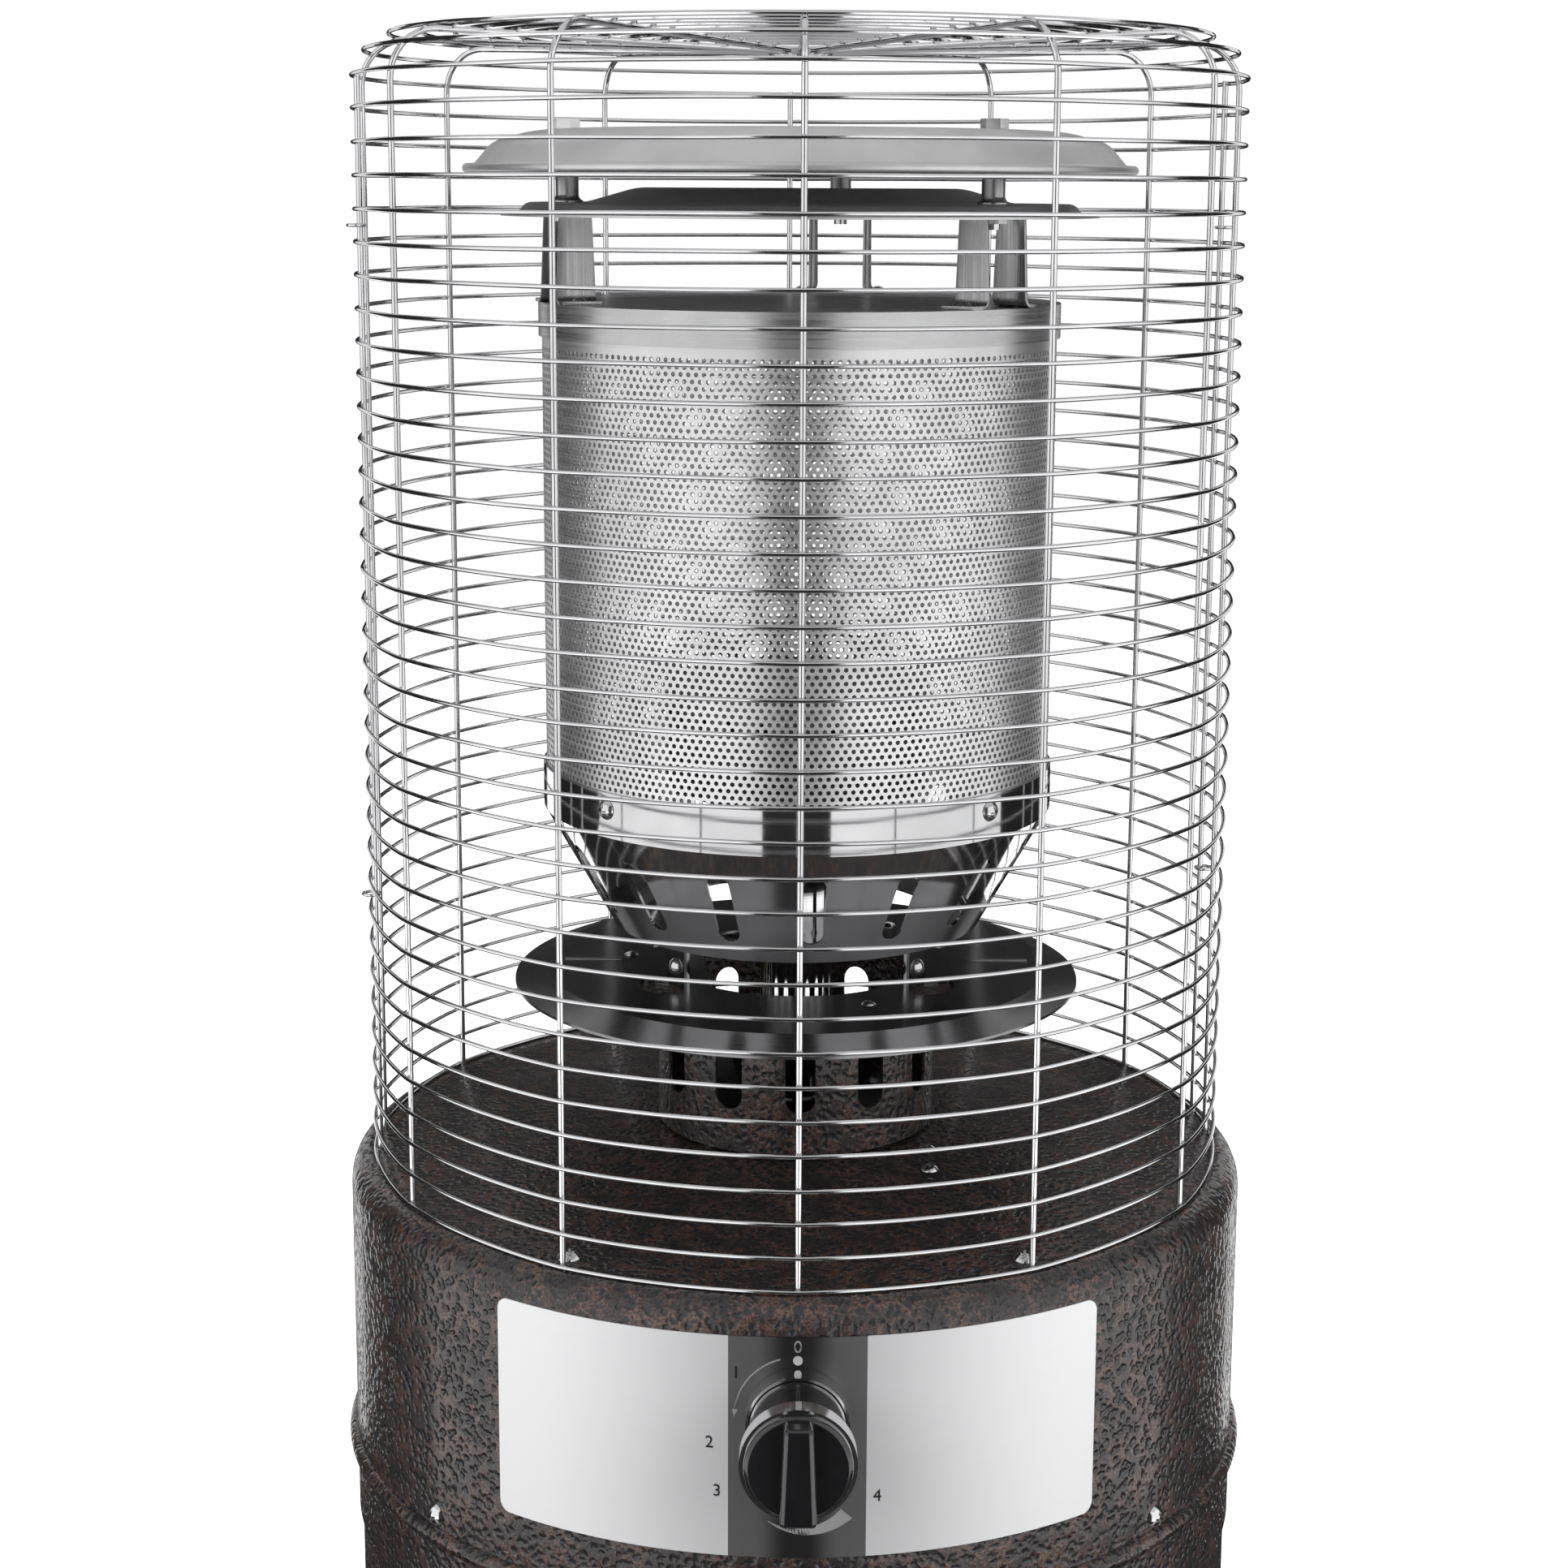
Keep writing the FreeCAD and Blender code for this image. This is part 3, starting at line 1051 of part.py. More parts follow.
def pilot_bracket():
    half = PILOT_STRIP_WIDTH / 2.0
    foot_z = CROSS_PLATE_TOP + SEAT_GAP
    top_z = pilot_shelf_z() - PILOT_STRIP_THICKNESS
    y = -PILOT_STRIP_Y
    points = [
        V(-PILOT_STRIP_FOOT_X - half, y, foot_z), V(-PILOT_STRIP_FOOT_X + half, y, foot_z),
        V(-PILOT_STRIP_TOP_X + half, y, top_z), V(-PILOT_STRIP_TOP_X - half, y, top_z)]
    strip = prism(points, V(0, PILOT_STRIP_THICKNESS, 0))
    foot = box(
        -PILOT_STRIP_FOOT_X - half, -PILOT_STRIP_FOOT_X + half, y, y + 8 * PILOT_STRIP_THICKNESS,
        foot_z, foot_z + PILOT_STRIP_THICKNESS)
    shelf = box(
        -PILOT_STRIP_TOP_X - PILOT_SHELF_WIDTH / 2.0, -PILOT_STRIP_TOP_X + half, y, y + PILOT_SHELF_DEPTH,
        top_z, pilot_shelf_z())
    bracket = strip.fuse([foot, shelf]).removeSplitter()
    for index in (0, 2):
        x, lead_y = pilot_place(index)
        hole = cylinder(LEAD_RADIUS + HOLE_CLEARANCE, top_z - CUT, pilot_shelf_z() + CUT, x, lead_y)
        bracket = bracket.cut(hole)
    return bracket


def pilot_place(index):
    """Places on the pilot bracket's shelf, from the front: electrode, pilot burner, thermocouple."""
    x = -PILOT_STRIP_TOP_X - PILOT_SHELF_WIDTH / 8.0
    return x, -PILOT_STRIP_Y + PILOT_SHELF_DEPTH / 2.0 + (index - 1) * PILOT_SPACING


def shelf_stub(index):
    """The end of a lead where it passes up through the pilot bracket's shelf."""
    x, y = pilot_place(index)
    return cylinder(LEAD_RADIUS, pilot_shelf_z() - PILOT_STRIP_THICKNESS - CUT, pilot_shelf_z() + CUT, x, y)


def ignition_electrode():
    x, y = pilot_place(0)
    base = pilot_shelf_z() + SEAT_GAP
    stick = cylinder(ELECTRODE_RADIUS, base, base + ELECTRODE_LENGTH, x, y)
    tip = base + ELECTRODE_LENGTH
    return stick.fuse([
        cylinder(ELECTRODE_WIRE_RADIUS, tip - CUT, tip + ELECTRODE_WIRE_LENGTH, x, y),
        shelf_stub(0), shelf_line(0, LEAD_RADIUS)])


def pilot_burner():
    x, y = pilot_place(1)
    base = pilot_shelf_z() + SEAT_GAP
    nozzle = cylinder(PILOT_BURNER_RADIUS, base, base + PILOT_BURNER_LENGTH, x, y)
    window = box(
        x, x + 2 * PILOT_BURNER_RADIUS, y - PILOT_BURNER_RADIUS / 2, y + PILOT_BURNER_RADIUS / 2,
        base + PILOT_BURNER_LENGTH * 0.6, base + PILOT_BURNER_LENGTH * 0.9)
    return nozzle.cut(window)


def thermocouple():
    x, y = pilot_place(2)
    base = pilot_shelf_z() + SEAT_GAP
    tip = cylinder(THERMOCOUPLE_RADIUS, base, base + THERMOCOUPLE_LENGTH * 0.6, x, y)
    return tip.fuse([
        cylinder(THERMOCOUPLE_RADIUS * 0.6, base, base + THERMOCOUPLE_LENGTH, x, y),
        shelf_stub(2), shelf_line(2, LEAD_RADIUS)])


def line_places():
    """Places where the pilot's three lines pass down through the burner's cross plate."""
    return [(-PILOT_STRIP_FOOT_X - PILOT_STRIP_WIDTH, pilot_place(index)[1]) for index in range(3)]


def shelf_line(index, radius):
    """A thin line from under the pilot shelf down through the neck to the valve's back."""
    x, y = pilot_place(index)
    line_x, line_y = line_places()[index]
    bend = PILOT_LINE_BEND
    shelf = pilot_shelf_z() - PILOT_STRIP_THICKNESS - SEAT_GAP
    low = KNOB_Z + (1 - index) * PILOT_LINE_SPACING
    port = -PILOT_LINE_PORT_X
    back = -VALVE_BACK + SEAT_GAP
    points = [
        V(x, y, shelf), V(x, y, shelf - 2 * bend), V(line_x, line_y, CROSS_PLATE_TOP + 4 * bend),
        V(line_x, line_y, low), V(port, back + 3 * bend, low), V(port, back, low)]
    return bent_rod(points, radius, bend)


def pilot_pipe():
    return shelf_line(1, PILOT_PIPE_RADIUS)


def tilt_screw_ys():
    """Places of the tilt switch's two screws along Y."""
    return (TILT_SWITCH_Y - TILT_SCREW_SPACING / 2.0, TILT_SWITCH_Y + TILT_SCREW_SPACING / 2.0)


def tilt_switch():
    half_x = TILT_SWITCH_WIDTH / 2.0
    half_y = TILT_SWITCH_LENGTH / 2.0
    low = crown_z(abs(TILT_SWITCH_Y) + half_y) - SHEET - TILT_SWITCH_HEIGHT
    block = box(
        TILT_SWITCH_X - half_x, TILT_SWITCH_X + half_x, TILT_SWITCH_Y - half_y, TILT_SWITCH_Y + half_y,
        low, CROWN_Z)
    block = block.common(housing_volume(HOUSING_INNER_RADIUS, HOUSING_BOTTOM, SHEET + SEAT_GAP))
    for y in tilt_screw_ys():
        block = block.cut(cylinder(TILT_SCREW_RADIUS + RUNNING_FIT, low + SHEET, CROWN_Z, TILT_SWITCH_X, y))
    return block


def tilt_switch_screws():
    solids = []
    for y in tilt_screw_ys():
        one = screw(TILT_SCREW_RADIUS, TILT_SCREW_LENGTH, PAN_HEAD_RATIO * TILT_SCREW_RADIUS)
        radius = math.hypot(TILT_SWITCH_X, y)
        solids.append(moved(one, TILT_SWITCH_X, y, crown_z(radius) + 3 * SEAT_GAP))
    return group(solids)


def dish_tab_window():
    """The lens-shaped window that a bent-up tab leaves in the dish, at the front."""
    lens_radius = (TAB_WINDOW_WIDTH ** 2 + TAB_WINDOW_LENGTH ** 2) / (4.0 * TAB_WINDOW_LENGTH)
    low = DISH_TOP_Z - 4 * DISH_SHEET
    high = DISH_TOP_Z + CUT
    outer = TAB_RADIUS + TAB_SHEET + TAB_WINDOW_LENGTH
    near = cylinder(lens_radius, low, high, y=-(TAB_RADIUS + lens_radius))
    far = cylinder(lens_radius, low, high, y=-(outer - lens_radius))
    lens = near.common(far)
    keep = box(-2 * lens_radius, 2 * lens_radius, -(TAB_RADIUS + TAB_SHEET), 0, 0, DISH_TOP_Z + 2 * CUT)
    return lens.cut(keep)


def heat_shield_dish():
    drop = DISH_TOP_Z - DISH_DROP
    plate = spun(sheet_outline([
        (DISH_HOLE_RADIUS, DISH_TOP_Z), (DISH_FLAT_RADIUS, DISH_TOP_Z), (DISH_RADIUS, drop)], DISH_SHEET))
    plate = plate.cut(group(at_azimuths(dish_tab_window(), TAB_AZIMUTHS)))
    half = TAB_WIDTH / 2.0
    back = TAB_RADIUS + TAB_SHEET
    tab = box(-half, half, -back, -TAB_RADIUS, DISH_TOP_Z - DISH_SHEET, DISH_TOP_Z + TAB_HEIGHT)
    hole_z = DISH_TOP_Z + TAB_SCREW_HEIGHT
    hole = front_cylinder(TAB_SCREW_RADIUS + HOLE_CLEARANCE, TAB_RADIUS - CUT, back + CUT, hole_z)
    tab = tab.cut(hole)
    reach = DISH_RADIUS
    rib_z = DISH_TOP_Z - DISH_RIB_RADIUS / 2.0
    rib = front_cylinder(DISH_RIB_RADIUS, DISH_RIB_INNER, DISH_RIB_OUTER, rib_z)
    rib = rib.common(box(-reach, reach, -reach, 0, DISH_TOP_Z - DISH_SHEET, DISH_TOP_Z + DISH_SHEET))
    plate = plate.fuse(at_azimuths(tab, TAB_AZIMUTHS) + at_azimuths(rib, DISH_RIB_AZIMUTHS))
    rivet_hole = cylinder(RIVET_RADIUS + HOLE_CLEARANCE, drop, DISH_TOP_Z + CUT, y=-RIVET_CIRCLE_RADIUS)
    holes = at_azimuths(rivet_hole, even_azimuths(RIVET_COUNT, RIVET_FIRST_AZIMUTH))
    return plate.cut(group(holes)).removeSplitter()


def bowl_feet():
    half = TAB_WIDTH / 2.0
    outer = TAB_RADIUS - SEAT_GAP
    top = BOWL_BOTTOM_Z - SEAT_GAP
    web = box(-half, half, -outer, -(outer - BOWL_FOOT_SHEET), DISH_TOP_Z + SEAT_GAP, top)
    flange = box(-half, half, -(outer + BOWL_FOOT_FLANGE), -outer + CUT, top - BOWL_FOOT_SHEET, top)
    foot = web.fuse(flange)
    hole_z = DISH_TOP_Z + TAB_SCREW_HEIGHT
    foot = foot.cut(front_cylinder(TAB_SCREW_RADIUS + RUNNING_FIT, outer - 3 * CUT, outer + CUT, hole_z))
    return group(at_azimuths(foot.removeSplitter(), TAB_AZIMUTHS))


def tab_screws():
    one = upright_to_front(screw(TAB_SCREW_RADIUS, TAB_SCREW_LENGTH, TAB_SCREW_HEAD_RADIUS, recess=False))
    one = moved(one, y=-(TAB_RADIUS + TAB_SHEET + SEAT_GAP), z=DISH_TOP_Z + TAB_SCREW_HEIGHT)
    return group(at_azimuths(one, TAB_AZIMUTHS))


def bowl_cone_radius(height):
    """Outer radius of the bowl's cone at a height above its bottom."""
    return BOWL_BOTTOM_RADIUS + (BOWL_BAND_RADIUS - BOWL_BOTTOM_RADIUS) * height / BOWL_CONE_HEIGHT


def burner_bowl():
    inner_bottom = BOWL_BOTTOM_RADIUS - BOWL_SHEET
    inner_top = BOWL_BAND_RADIUS - BOWL_SHEET
    flange = BOWL_BOTTOM_RADIUS - BOWL_FLANGE_WIDTH
    bowl = spun(line_outline([
        (flange, BOWL_BOTTOM_Z), (BOWL_BOTTOM_RADIUS, BOWL_BOTTOM_Z), (BOWL_BAND_RADIUS, BOWL_BAND_Z),
        (BOWL_BAND_RADIUS, BOWL_TOP_Z), (inner_top, BOWL_TOP_Z), (inner_top, BOWL_BAND_Z),
        (inner_bottom, BOWL_BOTTOM_Z + BOWL_SHEET), (flange, BOWL_BOTTOM_Z + BOWL_SHEET)]))
    half = BOWL_SLOT_WIDTH / 2.0
    low = BOWL_BOTTOM_Z + BOWL_SLOT_BOTTOM + half
    high = BOWL_BOTTOM_Z + BOWL_SLOT_TOP - half
    start = bowl_cone_radius(BOWL_SLOT_BOTTOM) - 6 * BOWL_SHEET
    end = bowl_cone_radius(BOWL_SLOT_TOP) + CUT
    slot = front_cylinder(half, start, end, low)
    slot = slot.fuse(front_cylinder(half, start, end, high)).fuse(box(-half, half, -end, -start, low, high))
    screw_z = BOWL_TOP_Z - BOWL_SCREW_DROP
    hole_radius = BOWL_SCREW_RADIUS + HOLE_CLEARANCE
    hole = front_cylinder(hole_radius, SCREEN_RADIUS, BOWL_BAND_RADIUS + CUT, screw_z)
    cutters = at_azimuths(slot, even_azimuths(BOWL_SLOT_COUNT, BOWL_SLOT_FIRST_AZIMUTH))
    cutters += at_azimuths(hole, BOWL_SCREW_AZIMUTHS)
    return bowl.cut(group(cutters))


def bowl_screws():
    one = upright_to_front(screw(BOWL_SCREW_RADIUS, BOWL_SCREW_LENGTH, BOWL_SCREW_HEAD_RADIUS))
    one = moved(one, y=-(BOWL_BAND_RADIUS + SEAT_GAP), z=BOWL_TOP_Z - BOWL_SCREW_DROP)
    return group(at_azimuths(one, BOWL_SCREW_AZIMUTHS))


def emitter_screen():
    wall = tube(SCREEN_RADIUS, SCREEN_RADIUS - SCREEN_SHEET, SCREEN_BOTTOM_Z, SCREEN_TOP_Z)
    hole = front_cylinder(
        BOWL_SCREW_RADIUS + HOLE_CLEARANCE, SCREEN_RADIUS - 3 * SCREEN_SHEET, SCREEN_RADIUS + CUT,
        BOWL_TOP_Z - BOWL_SCREW_DROP)
    return wall.cut(group(at_azimuths(hole, BOWL_SCREW_AZIMUTHS)))


def emitter_lid():
    skirt_z = LID_TOP_Z - LID_SKIRT_HEIGHT
    lid = cylinder(LID_RADIUS, skirt_z, LID_TOP_Z)
    lid = lid.cut(cylinder(LID_RADIUS - LID_SHEET, skirt_z - CUT, LID_TOP_Z - LID_SHEET))
    hole = cylinder(RIVET_RADIUS + HOLE_CLEARANCE, LID_TOP_Z - 2 * LID_SHEET, LID_TOP_Z + CUT)
    pair = group([moved(hole, side * strap_rivet_x(), -STRAP_CIRCLE_RADIUS) for side in (-1, 1)])
    return lid.cut(group(at_azimuths(pair, STRAP_AZIMUTHS)))


def strap_rivet_x():
    """Sideways place of a strap foot's rivet."""
    return (STRAP_LEG_SPACING + STRAP_FOOT_LENGTH) / 2.0


def strap_leg(side):
    """One leg of a strap, wider at its foot, standing on the lid at the front."""
    x = side * (STRAP_LEG_SPACING - STRAP_SHEET) / 2.0 - STRAP_SHEET / 2.0
    y = -STRAP_CIRCLE_RADIUS
    foot_z = LID_TOP_Z + SEAT_GAP
    points = [
        V(x, y - STRAP_FOOT_WIDTH / 2, foot_z), V(x, y + STRAP_FOOT_WIDTH / 2, foot_z),
        V(x, y + STRAP_TOP_WIDTH / 2, STRAP_TOP_Z), V(x, y - STRAP_TOP_WIDTH / 2, STRAP_TOP_Z)]
    return prism(points, V(STRAP_SHEET, 0, 0))


def strap_brackets():
    y = -STRAP_CIRCLE_RADIUS
    half_top = STRAP_TOP_WIDTH / 2.0
    half_foot = STRAP_FOOT_WIDTH / 2.0
    half_gap = STRAP_LEG_SPACING / 2.0
    foot_z = LID_TOP_Z + SEAT_GAP
    top = box(-half_gap, half_gap, y - half_top, y + half_top, STRAP_TOP_Z - STRAP_SHEET, STRAP_TOP_Z)
    strap = top.fuse([strap_leg(-1), strap_leg(1)])
    for side in (-1, 1):
        inner = side * (half_gap - STRAP_SHEET)
        outer = side * (half_gap + STRAP_FOOT_LENGTH)
        low = min(inner, outer)
        high = max(inner, outer)
        strap = strap.fuse(box(low, high, y - half_foot, y + half_foot, foot_z, foot_z + STRAP_SHEET))
        hole = cylinder(RIVET_RADIUS + HOLE_CLEARANCE, foot_z - CUT, foot_z + 2 * STRAP_SHEET)
        strap = strap.cut(moved(hole, side * strap_rivet_x(), y))
    bolt = cylinder(BOLT_RADIUS + HOLE_CLEARANCE, STRAP_TOP_Z - 2 * STRAP_SHEET, STRAP_TOP_Z + CUT)
    strap = strap.cut(moved(bolt, y=y))
    return group(at_azimuths(strap.removeSplitter(), STRAP_AZIMUTHS))


def rivet(top, bottom):
    """A round-headed rivet at the centre axis through sheets between two heights."""
    seat = top + SEAT_GAP
    under = bottom - SEAT_GAP
    shank = cylinder(RIVET_RADIUS, under - RIVET_TAIL_HEIGHT, seat)
    head = moved(dome(RIVET_HEAD_RADIUS, RIVET_RADIUS), z=seat)
    tail = cylinder(RIVET_HEAD_RADIUS - RIVET_TAIL_HEIGHT, under - RIVET_TAIL_HEIGHT, under)
    return shank.fuse([head, tail])


def rivets():
    dish = moved(rivet(DISH_TOP_Z, NECK_TOP_Z - NECK_SHEET), y=-RIVET_CIRCLE_RADIUS)
    solids = at_azimuths(dish, even_azimuths(RIVET_COUNT, RIVET_FIRST_AZIMUTH))
    foot = rivet(LID_TOP_Z + SEAT_GAP + STRAP_SHEET, LID_TOP_Z - LID_SHEET)
    for side in (-1, 1):
        solids += at_azimuths(moved(foot, side * strap_rivet_x(), -STRAP_CIRCLE_RADIUS), STRAP_AZIMUTHS)
    return group(solids)


def bolt_hole(top):
    """Cutters for the three bolts through a reflector whose top is at the given height."""
    hole = cylinder(BOLT_RADIUS + HOLE_CLEARANCE, top - 3 * REFLECTOR_SHEET, top + CUT)
    return group(at_azimuths(moved(hole, y=-STRAP_CIRCLE_RADIUS), STRAP_AZIMUTHS))


def reflector_lower():
    top = LOWER_REFLECTOR_Z
    rim = top - LOWER_REFLECTOR_RIM_DROP
    lip = LOWER_REFLECTOR_RADIUS - 6 * REFLECTOR_SHEET
    line = [
        (0.0, top + LOWER_STEP_RISE), (LOWER_STEP_INNER_RADIUS, top + LOWER_STEP_RISE),
        (LOWER_STEP_OUTER_RADIUS, top), (LOWER_PLATEAU_RADIUS, top), (lip, rim),
        (LOWER_REFLECTOR_RADIUS, rim)]
    return spun(sheet_outline(line, REFLECTOR_SHEET)).cut(bolt_hole(top))


def reflector_upper():
    top = UPPER_REFLECTOR_Z
    rim = top - UPPER_REFLECTOR_RIM_DROP
    shoulder = top - UPPER_SHOULDER_DROP
    roll_circle = UPPER_REFLECTOR_RADIUS - UPPER_ROLL_RADIUS
    line = [
        (0.0, top), (UPPER_FLAT_RADIUS, top), (UPPER_SHOULDER_RADIUS, shoulder), (roll_circle, rim)]
    plate = spun(sheet_outline(line, REFLECTOR_SHEET)).cut(bolt_hole(top))
    return plate.fuse(wire_ring(roll_circle, UPPER_ROLL_RADIUS, rim))


def reflector_spacers():
    base = LOWER_REFLECTOR_Z + SEAT_GAP
    top = UPPER_REFLECTOR_Z - REFLECTOR_SHEET - SEAT_GAP
    spacer = cylinder(SPACER_RADIUS, base, top)
    spacer = spacer.fuse(cylinder(SPACER_BASE_RADIUS, base, base + SPACER_BASE_HEIGHT))
    spacer = spacer.cut(cylinder(BOLT_RADIUS + HOLE_CLEARANCE, base - CUT, top + CUT))
    return group(at_azimuths(moved(spacer, y=-STRAP_CIRCLE_RADIUS), STRAP_AZIMUTHS))


def reflector_bolts():
    seat = UPPER_REFLECTOR_Z + SEAT_GAP
    end = STRAP_TOP_Z - STRAP_SHEET - NUT_HEIGHT - BOLT_END
    bolt = hexagon(BOLT_HEAD_WIDTH, seat, seat + BOLT_HEAD_HEIGHT).fuse(cylinder(BOLT_RADIUS, end, seat))
    return group(at_azimuths(moved(bolt, y=-STRAP_CIRCLE_RADIUS), STRAP_AZIMUTHS))


def reflector_nuts():
    top = STRAP_TOP_Z - STRAP_SHEET - SEAT_GAP
    nut = hexagon(BOLT_HEAD_WIDTH, top - NUT_HEIGHT, top)
    nut = nut.cut(cylinder(BOLT_RADIUS + RUNNING_FIT, top - NUT_HEIGHT - CUT, top + CUT))
    return group(at_azimuths(moved(nut, y=-STRAP_CIRCLE_RADIUS), STRAP_AZIMUTHS))


def guard_upright_azimuths():
    """Azimuths of the uprights that run over the top; the rear one is a pair beside its own line."""
    azimuths = even_azimuths(GUARD_UPRIGHT_COUNT)
    return [azimuth - GUARD_REAR_SPREAD if azimuth == 180.0 else azimuth for azimuth in azimuths]


def guard_short_azimuths():
    """Azimuths of the extra uprights at the seams of the guard's panels."""
    return list(GUARD_SEAM_AZIMUTHS) + [180.0 + GUARD_REAR_SPREAD]


def guard_foot_azimuths():
    """Azimuths of every upright."""
    return guard_upright_azimuths() + guard_short_azimuths()


def guard_line_z(radius):
    """Height of a top wire's centre line at a radius."""
    dip = math.radians(GUARD_TOP_DIP_ANGLE)
    bend_end = GUARD_UPRIGHT_CIRCLE_RADIUS - GUARD_BEND_RADIUS * (1.0 + math.sin(dip))
    return GUARD_TOP_Z - (bend_end - radius) * math.tan(dip)


def guard_uprights():
    radius = GUARD_UPRIGHT_CIRCLE_RADIUS
    inner = GUARD_WIRE_END_RADIUS
    corner_z = guard_line_z(radius)
    points = [V(0, -radius, GUARD_FOOT_Z), V(0, -radius, corner_z), V(0, -inner, guard_line_z(inner))]
    long_wire = bent_rod(points, GUARD_WIRE_RADIUS, GUARD_BEND_RADIUS)
    short_top = GUARD_TOP_RING_Z + GUARD_RING_WIRE_RADIUS
    short_wire = cylinder(GUARD_WIRE_RADIUS, GUARD_FOOT_Z, short_top, y=-radius)
    wires = at_azimuths(long_wire, guard_upright_azimuths())
    return group(wires + at_azimuths(short_wire, guard_short_azimuths()))


def guard_rings():
    rings = []
    for index in range(GUARD_RING_COUNT):
        z = GUARD_BOTTOM_RING_Z + GUARD_RING_PITCH * index
        rings.append(wire_ring(GUARD_RING_CIRCLE_RADIUS, GUARD_RING_WIRE_RADIUS, z))
    return group(rings)


def guard_top_rings():
    rings = []
    lift = GUARD_LAY
    pitch = (GUARD_TOP_RING_FIRST_RADIUS - GUARD_TOP_RING_LAST_RADIUS) / (GUARD_TOP_RING_COUNT - 1)
    for index in range(GUARD_TOP_RING_COUNT):
        radius = GUARD_TOP_RING_FIRST_RADIUS - pitch * index
        z = guard_line_z(radius) + lift / math.cos(math.radians(GUARD_TOP_DIP_ANGLE))
        if radius > GUARD_UPRIGHT_CIRCLE_RADIUS - GUARD_BEND_RADIUS:
            reach = GUARD_BEND_RADIUS + lift
            side = radius - (GUARD_UPRIGHT_CIRCLE_RADIUS - GUARD_BEND_RADIUS)
            z = GUARD_TOP_Z - GUARD_BEND_RADIUS + math.sqrt(reach ** 2 - side ** 2)
        rings.append(wire_ring(radius, GUARD_RING_WIRE_RADIUS, z))
    turn = math.radians(GUARD_SHOULDER_RING_ANGLE)
    radius = GUARD_UPRIGHT_CIRCLE_RADIUS - GUARD_BEND_RADIUS + (GUARD_BEND_RADIUS + lift) * math.cos(turn)
    z = GUARD_TOP_Z - GUARD_BEND_RADIUS + (GUARD_BEND_RADIUS + lift) * math.sin(turn)
    rings.append(wire_ring(radius, GUARD_RING_WIRE_RADIUS, z))
    return group(rings)


def guard_hub():
    top = guard_line_z(GUARD_WIRE_END_RADIUS) - GUARD_WIRE_RADIUS - SEAT_GAP
    return tube(GUARD_HUB_RADIUS, GUARD_HUB_HOLE_RADIUS, top - GUARD_HUB_THICKNESS, top)


def guard_ties():
    """Small wire loops that tie the guard's panels together at their seams."""
    solids = []
    loop_radius = 2 * (GUARD_WIRE_RADIUS + GUARD_RING_WIRE_RADIUS) - GUARD_TIE_WIRE_RADIUS
    inner = loop_radius - GUARD_TIE_WIRE_RADIUS
    centre = GUARD_UPRIGHT_CIRCLE_RADIUS + inner - GUARD_WIRE_RADIUS - SEAT_GAP
    for level in GUARD_TIE_LEVELS:
        z = GUARD_BOTTOM_RING_Z + GUARD_RING_PITCH * (level + 0.5)
        for azimuth in GUARD_SEAM_AZIMUTHS:
            loop = Part.makeTorus(loop_radius, GUARD_TIE_WIRE_RADIUS, V(0, -centre, z))
            solids.append(turned(loop, azimuth))
    return group(solids)


PARTS = (
    base_plate, base_feet, foot_screws, support_posts, post_screws, deck_plate,
    tank_housing, tank_door, hinge_fixed_leaves, hinge_door_leaves, hinge_pins, door_pull, door_catch,
    upper_housing, housing_struts, housing_screws, label_plate,
    knob_bezel, knob, knob_ring, valve_stem, push_pin, return_spring,
    gas_valve, valve_bracket, valve_screws, gas_inlet, main_gas_pipe, injector,
    neck, neck_screws, burner_cross_plate, mixing_tube, burner_head,
    pilot_bracket, pilot_burner, thermocouple, ignition_electrode, pilot_pipe,
    tilt_switch, tilt_switch_screws, heat_shield_dish, bowl_feet, tab_screws,
    burner_bowl, bowl_screws, emitter_screen, emitter_lid, strap_brackets, rivets,
    reflector_lower, reflector_spacers, reflector_upper, reflector_bolts, reflector_nuts,
    guard_uprights, guard_rings, guard_top_rings, guard_hub, guard_ties,
)


def main():
    os.makedirs("parts", exist_ok=True)
    for make in PARTS:
        make().exportStep("parts/%s.step" % make.__name__)


main()
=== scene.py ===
"""Gas patio heater: finishes, wire guard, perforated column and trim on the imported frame.

Metres, +Z up. The heater's centre axis is the Z axis and the control knob faces -Y. An azimuth is
counted from the front (-Y) towards +X, in degrees.
"""
import json
import logging
import math
import random
from dataclasses import dataclass
from enum import Enum
from typing import Iterable, Sequence

import bmesh
import bpy
from mathutils import Matrix, Vector

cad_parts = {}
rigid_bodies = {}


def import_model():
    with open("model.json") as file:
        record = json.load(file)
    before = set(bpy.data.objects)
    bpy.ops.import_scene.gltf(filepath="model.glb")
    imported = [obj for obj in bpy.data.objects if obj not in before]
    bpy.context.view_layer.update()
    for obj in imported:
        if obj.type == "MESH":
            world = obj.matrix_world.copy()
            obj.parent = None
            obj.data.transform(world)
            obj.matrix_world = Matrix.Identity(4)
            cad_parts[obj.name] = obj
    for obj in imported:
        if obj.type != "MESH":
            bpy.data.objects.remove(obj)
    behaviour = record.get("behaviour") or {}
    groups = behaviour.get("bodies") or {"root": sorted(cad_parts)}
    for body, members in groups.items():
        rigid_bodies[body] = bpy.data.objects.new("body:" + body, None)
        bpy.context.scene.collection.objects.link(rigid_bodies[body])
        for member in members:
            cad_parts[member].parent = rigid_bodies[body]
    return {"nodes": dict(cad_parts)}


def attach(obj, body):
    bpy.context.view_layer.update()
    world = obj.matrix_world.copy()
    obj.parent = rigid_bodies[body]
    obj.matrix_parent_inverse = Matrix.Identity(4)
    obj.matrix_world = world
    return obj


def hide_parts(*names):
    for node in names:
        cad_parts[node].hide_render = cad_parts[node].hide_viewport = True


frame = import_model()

LOG = logging.getLogger("heater")
MM = 0.001
FIXED_BODY = "heater"
KNOB_BODY = "knob"
